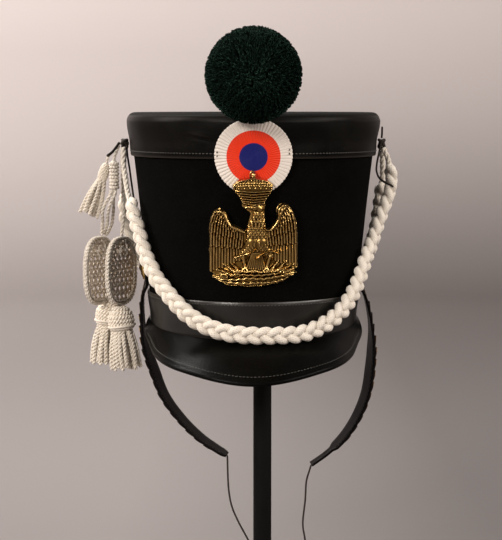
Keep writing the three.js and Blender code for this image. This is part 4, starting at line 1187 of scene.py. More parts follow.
def eagle_plate():
    """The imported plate's outline and swell, with the drawn relief raised on it."""
    half = 0.505 * PLATE_WIDTH + 1
    x, z = np.meshgrid(np.arange(-half, half, PLATE_STEP), np.arange(-1, PLATE_HEIGHT + 1, PLATE_STEP))
    plain, inside = plate_relief(x, z)
    solid = inside.astype(float)
    level = soften(np.where(inside, plain, 0), 6) / np.maximum(soften(solid, 6), 0.05)
    rim = np.clip((soften(solid, PLATE_EDGE / PLATE_STEP) - 0.5) * 2.2, 0, 1) ** 0.5
    relief = Relief(x, z)
    wing(relief, -1, (-0.4, 0))
    wing(relief, 1, (2.4, 2.2))
    body = Relief(x, z)
    eagle_body(body)
    crown_on_head(body)
    thunderbolt(body)
    detail = np.maximum(relief.height, body.height)
    # A smooth bright bead follows the leading edges of both wings.
    blurred = soften(solid, 2.0 / PLATE_STEP)
    slope_z, slope_x = np.gradient(blurred)
    leading = (0.8 * np.sign(x) * slope_x - slope_z) / (np.hypot(slope_z, slope_x) + 1e-6)
    leading = np.clip(leading, 0, 1) * ((z > 43) & (z < 69) & (np.abs(x - 1) > 8))
    bead = np.clip(2 * leading * hump(blurred, 0.8, 0.1), 0, 1)
    detail = detail * (1 - bead) + 5.4 * bead
    height = 0.5 + (0.5 * (level - 0.5) + soften(detail, 0.5)) * rim
    made = relief_sheet("eagle_relief", x, z, np.where(inside, height, 0), inside, brass)
    keep(made, "brass", "eagle_plate")


def relief_sheet(name, x, z, height, inside, material):
    """A closed sheet over the cells whose corners are all inside, with a flat back."""
    near, far = slice(None, -1), slice(1, None)
    whole = inside[near, near] & inside[far, near] & inside[near, far] & inside[far, far]
    used = np.zeros(inside.shape, bool)
    for rows in (near, far):
        for columns in (near, far):
            used[rows, columns] |= whole
    index = np.full(inside.shape, -1)
    index[used] = np.arange(used.sum())
    count = int(used.sum())
    front = on_front(x[used], z[used], height[used], PLATE_LEAN, PLATE_FOOT)
    back = on_front(x[used], z[used], 0.0, PLATE_LEAN, PLATE_FOOT)
    r, c = np.nonzero(whole)
    a, b, d, e = index[r, c], index[r, c + 1], index[r + 1, c + 1], index[r + 1, c]
    faces = np.stack([a, b, d, e], -1)
    backs = faces[:, ::-1] + count
    edges = np.concatenate([faces[:, [k, (k + 1) % 4]] for k in range(4)])
    keys = {}
    for first, second in edges.tolist():
        if (second, first) in keys:
            del keys[(second, first)]
        else:
            keys[(first, second)] = True
    sides = [[second, first, first + count, second + count] for first, second in keys]
    plan = MeshPlan()
    plan.points = [np.vstack([front, back])]
    plan.faces = [*faces.tolist(), *backs.tolist(), *sides]
    plan.pattern = [np.zeros((4 * len(plan.faces), 2))]
    return plan.build(name, material)


# Pompon
POMPON_RADIUS = 38.5
YARN_ROOT = 29.0
YARN_COUNT = 7000
# The wool presses over the cockade's top edge a little further than its plain core can.
POMPON_SETTLE = (0, -2.0, -3.5)


def pompon():
    """A ball of wool covered with clipped yarn ends."""
    centre = hat_box("pompon")[0] + POMPON_SETTLE
    rows = []
    for rise, reach, bend in ((0, 0.5, 0), (0.7, 0.95, 0.3), (1.0, 0.6, 0.0)):
        height = rise * (POMPON_RADIUS - YARN_ROOT)
        rows.append([[reach * math.cos(t) + bend, reach * math.sin(t), height] for t in turns_round(4)])
    yarn = template(closed_shell(rows), "yarn_template", wool)
    levels = np.linspace(0.03, math.pi - 0.03, 24)
    shell = [[centre + YARN_ROOT * direction(level, t) for t in turns_round(40)] for level in levels]
    core = closed_shell(shell[::-1]).build("pompon_core", wool)
    yarns = link_object("pompon_yarns", core.data.copy())
    area = 4 * math.pi * (YARN_ROOT * MM) ** 2
    grow(
        yarns, yarn_tree, Piece=yarn, Density=YARN_COUNT / area, Sway=0.28, Shortest=0.86, Longest=1.05,
        Seed=7, Material=wool,
    )
    keep(yarns, "wool", "pompon")
    keep(core, "wool")


def direction(polar, turn):
    return np.array([math.sin(polar) * math.cos(turn), math.sin(polar) * math.sin(turn), math.cos(polar)])


# White cords. Routes repeat the part's source, from where each is held to its free or lower end.
PLAIT_WIDTH = 15
PLAIT_STRAND = 6.6
PLAIT_PERIOD = 32
PLAIT_DEPTH = 2.3
PLAIT_EASE = 9.0
END_CORD = 4.4
HANGING_CORD = 3.2
TASSEL_CORD = 2.4
FRONT_ROUTE = [
    [-112.4, -4.6, 154.1], [-112.2, -8.5, 140], [-110, -15, 128.1], [-107.6, -24, 116.8],
    [-104.1, -36, 107.7], [-101.2, -42, 97.9], [-97.4, -47, 87.2], [-94.2, -52, 76.6], [-90.9, -57, 66.1],
    [-86.3, -64, 57.5], [-81.3, -70.5, 48.1], [-75.6, -77, 41.3], [-65.2, -88, 30.1], [-53.3, -97, 19.7],
    [-39.2, -104.5, 12], [-22.9, -110, 7], [-2.7, -112.8, 5], [17.5, -111.4, 4.7], [37.9, -105, 5.2],
    [52.9, -96.5, 9], [68.2, -84.5, 17.2], [79.6, -72, 29], [88, -57, 43.2], [95.4, -43, 61.3],
    [102.5, -28, 76.8], [110.2, -17, 96.9], [116.6, -11, 112.6], [119.5, -8, 127.4], [116.8, -6, 143.5],
    [114.6, -5.4, 149], [112.5, -4.5, 153.7],
]
REAR_ROUTE = [
    [-112.1, 4.5, 154], [-113.6, 10, 138], [-113.5, 16, 118], [-113, 18, 97], [-111, 22, 85],
    [-108, 27, 70], [-103, 36, 58], [-95, 52, 46], [-83, 72, 34], [-66, 90, 26], [-45, 104.5, 20.5],
    [-22, 112, 17.5], [0, 114.5, 17], [22, 112, 17.5], [45, 104.5, 20.5], [66, 90, 26], [83, 72, 34],
    [95, 51, 46], [103, 33, 62], [107.5, 23, 80], [110.5, 20, 100], [112, 18, 113], [113.5, 16, 126],
    [113, 10, 142], [112.1, 4.5, 154],
]


def plait(name, route, start, end, nodes):
    """Three cords plaited flat along the hat's side, drawn together to a thin twisted end at each hook."""
    path = smooth_route(route, 1.1)
    along = lengths_along(path)
    tangents = unit(np.gradient(path, axis=0))
    out = out_of_oval(path)
    out = unit(out - tangents * np.sum(out * tangents, 1, keepdims=True))
    across = np.cross(tangents, out)
    rest = along[-1] - end - along
    open_share = np.clip((along - start) / PLAIT_EASE, 0, 1) * np.clip(rest / PLAIT_EASE, 0, 1)
    open_share = (open_share**2 * (3 - 2 * open_share))[:, None]
    wide = (PLAIT_WIDTH - PLAIT_STRAND) / 2
    thin = END_CORD * 0.27
    plan = MeshPlan()
    for strand in range(3):
        turn = 2 * np.pi * (along / PLAIT_PERIOD + strand / 3)
        braid = across * (wide * np.sin(turn))[:, None] + out * (PLAIT_DEPTH * np.sin(2 * turn))[:, None]
        twist = across * (thin * np.sin(2 * turn))[:, None] + out * (thin * np.cos(2 * turn))[:, None]
        centre = path + braid * open_share + twist * (1 - open_share)
        radius = PLAIT_STRAND / 2 * open_share[:, 0] + END_CORD * 0.3 * (1 - open_share[:, 0])
        plan.tube(centre, radius, 10)
    made = plan.build(name, white_cord)
    keep(made, "white_cord", *nodes)


def single_cord(name, route, diameter, node, material, flatness=1.0):
    """A twisted white cord, or a leather thong."""
    path = smooth_route(route, 0.8)
    plan = MeshPlan()
    if material is white_cord:
        plan.twist(path, diameter, 2.4 * diameter)
    else:
        plan.tube(path, diameter / 2, 10, flatness=flatness)
    made = plan.build(name, material)
    keep(made, "white_cord" if material is white_cord else "strap_leather", node)


# Netted flounders, hung edgewise
FLOUNDER_WIDTH = 46
FLOUNDER_HEIGHT = 61
FLOUNDER_TURN = math.radians(60)
FLOUNDER_TOPS = {"left": (-134.6, 1, 77.5), "right": (-115, -5, 77.7)}
NET_PITCH = 4.7
PADDLE_POWER = 2.6


def paddle_outline(inset, count):
    turns = turns_round(count)
    half = np.array([FLOUNDER_WIDTH, FLOUNDER_HEIGHT]) / 2 - inset
    circle = np.stack([np.cos(turns), np.sin(turns)], 1)
    return half * np.sign(circle) * np.abs(circle) ** (2 / PADDLE_POWER)


def inside_paddle(flat, inset):
    half = np.array([FLOUNDER_WIDTH, FLOUNDER_HEIGHT]) / 2 - inset
    return np.sum((np.abs(flat) / half) ** PADDLE_POWER, 1) < 1


def flounder(side):
    """A net of crossing cords inside a doubled corded border, with a curled loop at its neck."""
    top = FLOUNDER_TOPS[side]
    middle = np.array([top[0], top[1], top[2] - FLOUNDER_HEIGHT / 2])
    wide = np.array([math.cos(FLOUNDER_TURN), math.sin(FLOUNDER_TURN), 0])
    deep = np.array([-wide[1], wide[0], 0])

    def hang(flat, depth):
        depth = np.broadcast_to(depth, len(flat))
        return middle + flat[:, :1] * wide + flat[:, 1:2] * [0, 0, 1] + depth[:, None] * deep

    net = MeshPlan()
    slope = math.radians(50)
    for hand in (-1, 1):
        run = np.array([math.cos(slope) * hand, math.sin(slope)])
        step = np.array([math.sin(slope), -math.cos(slope) * hand])
        for n in range(-12, 13):
            places = np.arange(-45, 45, 0.9)
            flat = step * NET_PITCH * n + places[:, None] * run
            held = inside_paddle(flat, 2.2)
            if held.sum() < 6:
                continue
            first, last = np.nonzero(held)[0][[0, -1]]
            line = flat[first:last + 1]
            cross = places[first:last + 1] / (NET_PITCH / math.sin(2 * slope))
            wave = 0.5 * np.cos(math.pi * (cross + n)) * hand
            net.tube(hang(line, wave), 1.5, 6, np.tile(deep, (len(line), 1)), flatness=0.5, round_ends=False)
    # The net takes the cord colour painted darker and warmer as shade.
    made = net.build(f"flounder_{side}_net", shaded_net_cord)
    border = MeshPlan()
    for inset, depth, thick in ((1.6, 0.8, 3.0), (1.6, -0.8, 3.0), (4.4, 1.1, 2.1), (4.4, -1.1, 2.1)):
        outline = paddle_outline(inset, 200)
        border.twist(hang(np.vstack([outline, outline[:2]]), depth), thick, 6.5)
    turn = np.linspace(0, 2.6 * math.pi, 60)
    reach = np.linspace(7.5, 1.875, 60)
    curl = np.stack([reach * np.sin(turn), FLOUNDER_HEIGHT / 2 - 12.5 + 1.1 * reach * np.cos(turn)], 1)
    for depth in (1.9, -1.9):
        border.tube(hang(curl, depth), 0.95, 7)
    edge = border.build(f"flounder_{side}_border", white_cord)
    keep(made, "white_cord", f"flounder_{side}")
    keep(edge, "white_cord")
    return [made, edge]


# Tassels: the radius and height of the head, the length and spread of the fringe, and its cords.
LARGE_TASSEL = {"head": (11.4, 20), "fringe": (36, 14), "cords": 26, "strand": 3.9}
SMALL_TASSEL = {"head": (4.2, 15), "fringe": (34, 9.5), "cords": 15, "strand": 3.4}
TASSELS = {
    "left": {"top": (-127.1, 13, 18.4), "lean": (0, 4), "seed": 3, **LARGE_TASSEL},
    "right": {"top": (-116.6, -10, 16.6), "lean": (0, -7), "seed": 5, **LARGE_TASSEL},
    "small": {"top": (-127.7, 3.1, 140.4), "lean": (-4, 17), "seed": 9, **SMALL_TASSEL},
}


def bullion(name, length, thick):
    """One fringe cord of unit length: two plies twisted together, slightly bowed, pointing up Z."""
    plan = MeshPlan()
    for hand in (0, 1):
        t = np.linspace(0, 1, 34)
        turn = 2 * np.pi * (t * length / 6.6) + math.pi * hand
        bow = 0.05 * length * np.sin(math.pi * t)
        x = 0.27 * thick * np.cos(turn) + bow
        y = 0.27 * thick * np.sin(turn)
        plan.tube(np.stack([x, y, t * length], 1), thick * 0.25, 6)
    return template(plan, name, fringe_cord)


def lean_matrix(lean):
    """The tilt of a tassel about the X and then the Y axis, in degrees."""
    a, b = math.radians(lean[0]), math.radians(lean[1])
    about_x = np.array([[1, 0, 0], [0, math.cos(a), -math.sin(a)], [0, math.sin(a), math.cos(a)]])
    about_y = np.array([[math.cos(b), 0, math.sin(b)], [0, 1, 0], [-math.sin(b), 0, math.cos(b)]])
    return about_x @ about_y


def tassel(side):
    """A knob of rows of knots over a rolled edge, and a full fringe of twisted cords."""
    sizes = TASSELS[side]
    seed = sizes["seed"]
    turn = lean_matrix(sizes["lean"])
    head_radius, head_height = sizes["head"]
    length, spread_radius = sizes["fringe"]
    chance = np.random.default_rng(seed)

    def hang(points):
        return points @ turn.T + sizes["top"]

    # The head from its top down: its reach and its drop as shares of the whole.
    levels = np.linspace(0, 1, 20)
    marks = np.linspace(0, 1, 6)
    reach = np.interp(levels, marks, [0.12, 0.6, 0.93, 1, 0.92, 0.72]) * head_radius * 0.92
    drop = np.interp(levels, marks, [0, 0.08, 0.35, 0.62, 0.86, 1]) * head_height
    rings = [[[r * math.cos(t), r * math.sin(t), -d] for t in turns_round(24)] for r, d in zip(reach, drop)]
    knob = closed_shell(hang(np.array(rings)[::-1])).build(f"tassel_{side}_core", fringe_cord)

    knot_size = 0.15 * head_radius + 1.3
    t = np.linspace(0.03, 0.97, 260)
    spiral_reach = np.interp(t, levels, reach) + 0.25
    spiral_turn = 2 * np.pi * head_height / (knot_size * 0.82) * t
    across, along = spiral_reach * np.cos(spiral_turn), spiral_reach * np.sin(spiral_turn)
    spiral = np.stack([across, along, -np.interp(t, levels, drop)], 1)
    facing = unit(spiral * [1, 1, 0] + [0, 0, 0.02]) + np.array([0, 0, 1]) * (0.9 - 1.3 * t)[:, None]
    knots = stitch_row(
        f"tassel_{side}_knots", hang(spiral), unit(facing) @ turn.T,
        knot_size * np.array([0.95, 1.5, 0.72, 0.8]), fringe_cord, slant=0.75, seed=seed,
    )

    count = sizes["cords"]
    rings = np.where(np.arange(count) % 3 == 0, 0.45, 1.0)
    turns = 2 * np.pi * (np.arange(count) / count + chance.uniform(-0.01, 0.01, count))
    heading = np.stack([np.cos(turns), np.sin(turns), turns * 0], 1)
    root = heading * (rings * head_radius * 0.62)[:, None] + [0, 0, 0.6 - head_height]
    flare = np.arctan2((spread_radius - 2 - head_radius * 0.62) * rings, length)
    flare = flare + chance.uniform(-0.04, 0.04, count)
    out = heading * np.sin(flare)[:, None] - np.array([0, 0, 1]) * np.cos(flare)[:, None]
    size = np.ones((count, 3))
    size[:, 2] = chance.uniform(0.9, 1.0, count)
    cords = guides(
        f"tassel_{side}_fringe", hang(root), facing=out @ turn.T, heading=heading @ turn.T, size=size
    )
    strand = bullion(f"bullion_{side}", length, sizes["strand"])
    grow(cords, guide_tree, Piece=strand, Sway=0.05, Spin=0.9, Seed=seed, Material=fringe_cord)

    pieces = [knob, knots, cords]
    if side != "small":
        ring = 2 * np.pi * np.arange(61) / 60
        roll = MeshPlan()
        circle = np.stack([np.cos(ring), np.sin(ring), ring * 0], 1) * head_radius
        for lift, wide in ((-0.93, 0.86), (-0.84, 0.99)):
            roll.tube(hang(circle * wide + [0, 0, lift * head_height]), 1.15, 8, round_ends=False)
        pieces.append(roll.build(f"tassel_{side}_roll", fringe_cord))
    keep(knob, "white_cord", f"tassel_{side}")
    for piece in pieces[1:]:
        keep(piece, "white_cord")
    return pieces


def slide_knots():
    """The woven slide: a core wound with slanted knots in turns that lean each way."""
    centre, size = hat_box("slide")
    height = size[2]
    radius = size[0] / 2
    core = MeshPlan()
    core.tube([centre + [0, 0, height * s] for s in (-0.48, 0, 0.48)], radius * 0.64, 12)
    made = core.build("slide_core", white_cord)
    rows, knots_round = 8, 9
    points, facing, heading = [], [], []
    for row in range(rows):
        z = height * ((row + 0.5) / rows - 0.5) * 0.96
        for n in range(knots_round):
            turn = 2 * math.pi * (n + 0.5 * (row % 2)) / knots_round
            out = np.array([math.cos(turn), math.sin(turn), 0])
            points.append(centre + out * radius * 0.74 + [0, 0, z])
            facing.append(out)
            heading.append([-out[1], out[0], 0.8 if row % 2 else -0.8])
    size = [[3.6 * MM, 2.3 * MM, 2.6 * MM]] * len(points)
    knots = guides("slide_knots", points, facing=facing, heading=heading, size=size)
    grow(knots, guide_tree, Piece=stitch, Sway=0.1, Spin=0.1, Seed=2, Material=white_cord)
    keep(made, "white_cord", "slide")
    keep(knots, "white_cord")
    return [made, knots]


def lace_knot(side):
    """A thong passed over and under itself in a flat overhand knot."""
    node = f"lace_knot_{side}"
    centre, size = hat_box(node)
    reach = size / 2
    t = np.linspace(0, 2 * np.pi, 90)
    x = np.sin(3 * t) * reach[0] * 0.55
    y = (np.sin(t) + 2 * np.sin(2 * t)) / 3 * reach[1] * 0.95
    z = (np.cos(t) - 2 * np.cos(2 * t)) / 3 * reach[2] * 1.05
    plan = MeshPlan()
    plan.tube(centre + np.stack([x, y, z], 1), 1.5, 8, flatness=0.8, round_ends=False)
    keep(plan.build(f"thong_knot_{side}", strap_leather), "strap_leather", node)


def all_cords():
    plait("front_plait", FRONT_ROUTE, 52, 12, ("plait_front", "end_cord_left_front", "end_cord_right_front"))
    plait("rear_plait", REAR_ROUTE, 38, 30, ("plait_rear", "end_cord_left_rear", "end_cord_right_rear"))
    slide_pieces = slide_knots()
    left, right = flounder("left"), flounder("right")
    tassels = {side: tassel(side) for side in TASSELS}
    to_slide = [[-116.9, -1.5, 155.3], [-118.6, -5, 150.5], [-120.1, -7.8, 146], [-120.3, -8, 143]]
    single_cord("cord_to_slide", to_slide, HANGING_CORD, "slide_cord", white_cord)
    hanging = {
        "1": [[-122.8, -9.5, 117.4], [-123.6, -9.6, 114], [-128, -9, 106.5], [-130.8, -7, 99],
              [-131.3, -2, 89], [-132.6, 4.5, 78.6]],
        "2": [[-119.2, -10, 117.4], [-119.6, -10.2, 114], [-123.5, -10.5, 106.5], [-126, -7, 98],
              [-127.6, 0, 88], [-130.8, 7.6, 78.4]],
        "3": [[-120.8, -5.9, 117.4], [-121.5, -5, 108], [-122, -2, 98], [-124, 4, 87], [-129, 10.7, 77.6]],
    }
    for key, route in hanging.items():
        single_cord(
            f"flounder_cord_{key}", route, HANGING_CORD, f"hanging_cord_{key}", white_cord,
        )
    single_cord(
        "cord_to_right_flounder",
        [[-113.4, 0.4, 153.4], [-114, 1, 140], [-113.6, 0, 115], [-113, -2, 95], [-114.6, -4.4, 78.3]],
        HANGING_CORD, "flounder_cord", white_cord,
    )
    single_cord(
        "cord_to_small_tassel", [[-116.1, 3.8, 158], [-121, 4, 152], [-126.3, 3.2, 146], [-127.7, 3.1, 141]],
        TASSEL_CORD, "small_tassel_cord", white_cord,
    )


LACE = 2.4
CHIN_LACE = 4.6


def all_laces():
    laces = {
        "lace_left_tail": [[-116, -4.6, 158.6], [-118.8, -6.5, 154.5], [-122, -8, 150.5], [-126, -9, 147.5]],
        "lace_left_strand": [[-109.7, -0.5, 153.5], [-109, -1, 146], [-107.3, -3, 136], [-106, -6, 127.5],
                             [-103.2, -14, 111.5]],
        "lace_right_tail": [[109.9, -8.5, 157.4], [108.4, -10, 150], [106.6, -11, 141], [106.3, -13, 134],
                            [109.5, -16.5, 127.5], [119.8, -19.8, 121.5]],
        "lace_right_end": [[111.4, 0, 163], [111.6, -1, 167], [111.6, -2, 172]],
    }
    for node, route in laces.items():
        single_cord(f"{node}_thong", route, LACE, node, strap_leather, flatness=0.7)
    chin = {
        "right": [[50.5, -10.5, -124.1], [46.6, -11, -138], [45.7, -11, -154], [43.6, -11, -174.5],
                  [45.1, -11, -187], [47.4, -11, -200], [48.2, -11, -212]],
        "left": [[-22.7, -12.4, -115.3], [-22.2, -12.5, -135], [-21.2, -12.5, -148], [-18.6, -12.5, -160.5],
                 [-13.3, -13, -173], [-6.4, -13.5, -186], [0.4, -14, -199], [4, -14, -211]],
    }
    for side, route in chin.items():
        single_cord(
            f"chin_thong_{side}", route, CHIN_LACE, f"chin_lace_{side}", strap_leather, flatness=0.35
        )
    for side in ("left", "right"):
        lace_knot(side)


# Chin scales. A row says how far the strap stands out, hangs down and lies back, as shares of the rim.
BOSS_ABOVE_RIM = 50
BOSS_RADIUS = 11
BOSS_HEIGHT = 5
STRAP_LEATHER = 2
STRAP_TOP_WIDTH = 23
STRAP_END_WIDTH = 17
STRAP_TONGUE_WIDTH = 9
STRAP_TURN = 17
SCALE_PITCH = 10
STRAPS = {
    "right": {
        "side": 1, "scales": 0.86,
        "out": (0, 0, 0, 0.017, 0.082, 0.161, 0.199, 0.209, 0.193, 0.119, 0.008, -0.125, -0.277),
        "down": (-0.13, 0, 0.13, 0.2, 0.3, 0.55, 0.8, 1.03, 1.29, 1.53, 1.724, 1.868, 1.985),
        "back": (0, 0, 0, 0, 0, -0.01, -0.02, -0.03, -0.045, -0.065, -0.085, -0.105, -0.12),
        "turn": (0, 0, 0, 0.1, 0.3, 0.8, 1, 1, 1, 1, 1, 1, 1),
    },
    "left": {
        "side": -1, "scales": 0.97,
        "out": (0, 0, 0, 0.017, 0.068, 0.095, 0.091, 0.03, -0.046, -0.191, -0.347, -0.49, -0.607),
        "down": (-0.13, 0, 0.13, 0.2, 0.3, 0.55, 0.78, 1.04, 1.3, 1.53, 1.7, 1.81, 1.885),
        "back": (0, 0, 0, 0, 0, -0.01, -0.02, -0.03, -0.05, -0.075, -0.1, -0.12, -0.14),
        "turn": (0, 0, 0, 0.1, 0.3, 0.8, 1, 1, 1, 1, 1, 1, 1),
    },
}
SIDE_SLOPE = math.atan2(TOP_HALF_WIDTH - RIM_HALF_WIDTH, CROWN_HEIGHT)


def strap_x(z):
    return half_width(z) + (GAP + STRAP_LEATHER / 2) / math.cos(SIDE_SLOPE)


class StrapLine:
    """The middle of a strap, with its direction down, across and outward at a share of its length."""

    def __init__(self, strap):
        side = strap["side"]
        down = np.array(strap["down"]) * RIM_HALF_WIDTH
        z = BOSS_ABOVE_RIM - down
        x = side * (strap_x(z) + np.array(strap["out"]) * RIM_HALF_WIDTH)
        self.path = smooth_route(np.stack([x, np.array(strap["back"]) * RIM_HALF_WIDTH, z], 1), 1.0)
        self.along = lengths_along(self.path)
        self.length = self.along[-1]
        shares = np.interp(self.along / self.length, np.linspace(0, 1, len(down)), strap["turn"])
        turn = np.radians(STRAP_TURN) * shares
        self.down = unit(np.gradient(self.path, axis=0))
        across = np.stack([-side * np.sin(turn), np.cos(turn), turn * 0], 1)
        self.across = unit(across - self.down * np.sum(across * self.down, 1, keepdims=True))
        self.outward = np.cross(self.down, self.across) * side

    def read(self, values, share):
        at = np.asarray(share) * self.length
        return np.stack([np.interp(at, self.along, values[:, k]) for k in range(3)], -1)


# Half of the strap's section, as shares of its half width and half thickness.
STRAP_UNDERSIDE = [(-1, -0.7), (-0.97, -1), (-0.5, -1), (0, -1), (0.5, -1), (0.97, -1), (1, -0.7)]


def chin_strap(side):
    """The leather strap, narrowed to a tongue past its scales, with a row of stitches along each edge."""
    strap = STRAPS[side]
    line = StrapLine(strap)
    shares = np.linspace(0, 1, int(line.length / 2.2))
    widths = STRAP_TOP_WIDTH + (STRAP_END_WIDTH - STRAP_TOP_WIDTH) * shares
    narrow = np.clip((shares - strap["scales"] - 0.012) / 0.02, 0, 1)
    widths = widths + (STRAP_TONGUE_WIDTH - widths) * narrow
    centre, across, outward = (line.read(v, shares) for v in (line.path, line.across, line.outward))
    section = STRAP_UNDERSIDE + [(u, -h) for u, h in STRAP_UNDERSIDE[::-1]]
    half, deep = widths[:, None] / 2, STRAP_LEATHER / 2
    rings = np.stack([centre + across * u * half + outward * h * deep for u, h in section], 1)
    if strap["side"] > 0:
        rings = rings[:, ::-1]
    made = closed_shell(rings).build(f"strap_leather_{side}", strap_leather)
    keep(made, "strap_leather", f"chin_strap_{side}")
    for key, hand in (("a", -1), ("b", 1)):
        inset = hand * (widths / 2 - 1.6)
        edge = centre + across * inset[:, None] - outward * (STRAP_LEATHER / 2)
        row = stitch_row(
            f"strap_stitches_{side}_{key}", edge[8:-3], -outward[8:-3], STRAP_STITCH, dark_thread
        )
        keep(row, "strap_leather")
    scales(side, strap, line)


def scale_piece():
    """One brass scale of unit width: three rounded lobes and three raised ribs. Z points outward."""
    front = []
    for v in np.linspace(0, 1, 12):
        row = []
        for u in np.linspace(-1, 1, 17):
            lobe = 0.13 * abs(math.sin(1.5 * math.pi * u)) if v > 0.5 else 0.0
            length = 14.5 * v - 2.2 * v * v * u * u + 9 * lobe * v - 2.6 * v * u * u
            width = 0.5 * (0.9 + 0.14 * math.sin(math.pi * min(v * 1.1, 1))) * u
            rib = 0.55 * hump(u, 0, 0.2) + 0.3 * v * hump(abs(u), 0.62, 0.14)
            row.append([length, width * 1000, 1.5 * v - 0.9 * v * u * u + rib + 0.45])
        front.append(row)
    front = np.array(front)
    back = front - [0, 0, 0.5]
    return template(closed_shell(np.concatenate([front, back[:, ::-1]], 1)), "scale_template", brass)


def scales(side, strap, line):
    """The row of scales from the boss down, each tilted over the next."""
    first = (-strap["down"][0] * RIM_HALF_WIDTH + BOSS_RADIUS + GAP) / line.length
    count = int((strap["scales"] - first) * line.length / SCALE_PITCH)
    shares = first + np.arange(count) * SCALE_PITCH / line.length
    middles = shares + 0.6 * SCALE_PITCH / line.length
    outward = line.read(line.outward, middles)
    down = line.read(line.path, shares + SCALE_PITCH / line.length) - line.read(line.path, shares)
    points = line.read(line.path, shares) + line.read(line.outward, shares) * (STRAP_LEATHER / 2 + 2 * GAP)
    widths = STRAP_TOP_WIDTH + (STRAP_END_WIDTH - STRAP_TOP_WIDTH) * shares
    size = np.stack([np.ones(count), widths * MM, np.ones(count)], 1)
    facing = unit(outward + unit(down) * 0.16)
    made = guides(f"scale_row_{side}", points, facing=facing, heading=unit(down), size=size)
    grow(made, guide_tree, Piece=scale_template, Sway=0.012, Spin=0.02, Seed=11, Material=brass)
    keep(made, "brass", f"chin_scales_{side}")


scale_template = scale_piece()


def boss(side):
    """A round boss: a milled rim, a ring of petals and a domed middle."""
    hand = STRAPS[side]["side"]
    base_x = strap_x(BOSS_ABOVE_RIM) + (STRAP_LEATHER / 2 + GAP) / math.cos(SIDE_SLOPE)
    centre = np.array([hand * base_x, 0, BOSS_ABOVE_RIM])
    outward = np.array([hand * math.cos(SIDE_SLOPE), 0, -math.sin(SIDE_SLOPE)])
    up = np.array([hand * math.sin(SIDE_SLOPE), 0, math.cos(SIDE_SLOPE)])
    turns = turns_round(96)

    def ring(share, level):
        circle = up * np.cos(turns)[:, None] + np.array([0, 1, 0]) * np.sin(turns)[:, None]
        return centre + BOSS_RADIUS * share * circle + outward * level[:, None]

    rows = [ring(1, turns * 0)]
    for share in np.linspace(1, 0.02, 26):
        petal = 0.4 * (1 + np.cos(12 * turns)) * hump(share, 0.58, 0.17)
        milled = 0.12 * np.cos(48 * turns) * hump(share, 0.93, 0.05)
        dome = 1.0 + 2.2 * (1 - share**2) + 1.6 * hump(share, 0, 0.28) + 0.8 * hump(share, 0.9, 0.07)
        rows.append(ring(share, np.minimum(dome + milled + petal, BOSS_HEIGHT)))
    rows = np.array(rows)
    if hand > 0:
        rows = rows[:, ::-1]
    keep(closed_shell(rows).build(f"boss_{side}", brass), "brass", f"chin_boss_{side}")


def stand_and_stem():
    """The stand's pieces and the pompon's wire keep their own shape, with a smooth surface."""
    for node, material, slot in (
        ("stand_base", black_paint, "stand"), ("stand_pole", black_paint, "stand"),
        ("stand_top_plate", black_paint, "stand"), ("pompon_stem", brass, "brass"),
    ):
        made = link_object(f"{node}_surface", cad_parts[node].data.copy())
        made.data.materials.clear()
        made.data.materials.append(material)
        merge_close(made)
        made.data.shade_smooth()
        made.data.set_sharp_from_angle(angle=math.radians(35))
        bevel = made.modifiers.new("rounded_edges", "BEVEL")
        bevel.width = 0.6 * MM
        bevel.segments = 2
        bevel.limit_method = "ANGLE"
        bevel.angle_limit = math.radians(50)
        keep(made, slot, node)


# The backdrop, in metres: the wall's distance and height, and the radius of the bend at its foot.
WALL_DISTANCE = 3.4
WALL_HEIGHT = 2.4
WALL_BEND = 0.8
FLOOR_DROP = 0.0005


def backdrop():
    """A pale round floor that curves up into a wall well clear of the object."""
    foot = WALL_DISTANCE - WALL_BEND
    profile = [(0.02, 0.0), (1.2, 0.0), (foot, 0.0)]
    for turn in np.linspace(0.1, math.pi / 2, 16):
        profile.append((foot + WALL_BEND * math.sin(turn), WALL_BEND - WALL_BEND * math.cos(turn)))
    profile.append((WALL_DISTANCE, WALL_HEIGHT))
    turns = turns_round(96)
    sides = len(turns)
    points = [(r * math.cos(t), r * math.sin(t), z - FLOOR_DROP) for r, z in profile for t in turns]
    faces = [list(range(sides))]
    for row in range(len(profile) - 1):
        for n in range(sides):
            first, second = row * sides + n, row * sides + (n + 1) % sides
            faces.append((second, first, first + sides, second + sides))
    mesh = bpy.data.meshes.new("backdrop")
    mesh.from_pydata(points, [], faces)
    mesh.shade_smooth()
    mesh.materials.append(paper_finish())
    link_object("backdrop", mesh)


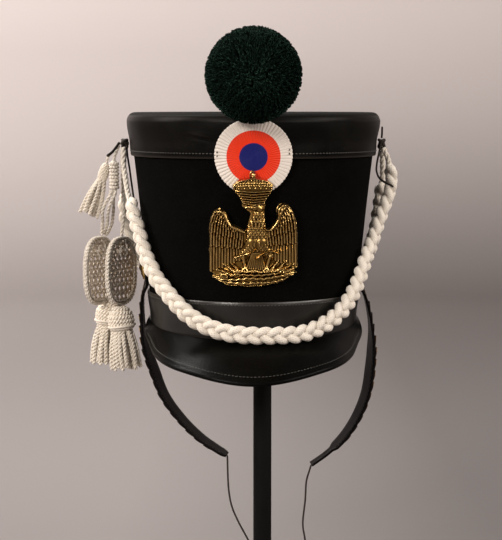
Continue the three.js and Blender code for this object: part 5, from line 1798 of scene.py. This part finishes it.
def paper_finish():
    """Warm grey paper with light and shade painted into its colour: darker low down, to the right and near
    the object, where a painted shadow falls round the stand, and lighter up the wall.
    """
    finish = Finish("backdrop_paper", Roughness=0.9, Specular_IOR_Level=0.2)
    tree = finish.tree
    place = axes(tree, finish.place)
    # Painted light and shade: the level falls off down the wall, to the right and towards the middle where
    # the stand is.
    up = spread(tree, place["Z"], 0.0, 0.75)
    side = spread(tree, place["X"], -0.15, 0.3, 0.95, 0.5)
    side = calculate(tree, "MAXIMUM", side, calculate(tree, "MULTIPLY_ADD", up, 0.5, 0.55))
    reach = add_node(tree, "ShaderNodeVectorMath", {0: finish.place}, operation="LENGTH").outputs["Value"]
    shaded = calculate(tree, "MULTIPLY", side, spread(tree, reach, 0.3, 2.4, 0.62, 1.0))
    eased = calculate(tree, "MULTIPLY", up, calculate(tree, "SUBTRACT", 2.0, up))
    level = calculate(tree, "MULTIPLY", calculate(tree, "MULTIPLY_ADD", eased, 0.31, 0.32), shaded)
    paper = add_node(tree, "ShaderNodeVectorMath", {0: (1, 0.9, 0.87), "Scale": level}, operation="SCALE")
    finish.feed("Base Color", paper.outputs[0])
    return finish.material


WARM = (1, 0.94, 0.87)
SOFTER_WARM = (1, 0.94, 0.88)
# Lamps, in metres and watts: name, place, target, width and height, power, colour.
LAMPS = (
    ("key", (-1.15, -1.8, 1.2), (0, 0, 0.36), (0.5, 0.5), 34, WARM),
    ("fill", (1.4, -1.4, 1.2), (0, 0, 0.36), (0.8, 0.8), 15, WARM),
    ("left_side", (-1.6, -0.1, 1.2), (-0.1, 0, 0.36), (0.7, 0.7), 25, SOFTER_WARM),
    ("right_side", (1.6, -0.4, 1.2), (0.1, 0, 0.36), (0.7, 0.7), 17, SOFTER_WARM),
    ("rim", (-0.3, 0.65, 1.5), (0, 0, 0.5), (0.8, 0.6), 28, (1, 0.98, 0.96)),
    ("wall_wash", (-1.3, 1.5, 1.75), (-0.6, 3.4, 0.85), (0.6, 0.6), 46, (1, 0.97, 0.95)),
)
WORLD_COLOUR = (0.95, 0.93, 0.92, 1)
WORLD_STRENGTH = 0.14


def lights():
    world = bpy.data.worlds.new("studio")
    world.use_nodes = True
    world.node_tree.nodes["Background"].inputs["Color"].default_value = WORLD_COLOUR
    world.node_tree.nodes["Background"].inputs["Strength"].default_value = WORLD_STRENGTH
    scene.world = world
    for name, place, target, size, power, colour in LAMPS:
        data = bpy.data.lights.new(name, "AREA")
        data.shape = "RECTANGLE"
        data.size, data.size_y = size
        data.energy = power
        data.color = colour
        made = link_object(name, data)
        made.location = place
        made.rotation_euler = (Vector(target) - Vector(place)).to_track_quat("-Z", "Y").to_euler()


all_cords()
all_laces()
felt_body()
leather_cap()
headband()
visor()
cockade()
eagle_plate()
pompon()
for strap_side in STRAPS:
    chin_strap(strap_side)
    boss(strap_side)
stand_and_stem()
backdrop()
lights()
for used_once in template_objects:
    bpy.data.objects.remove(used_once)
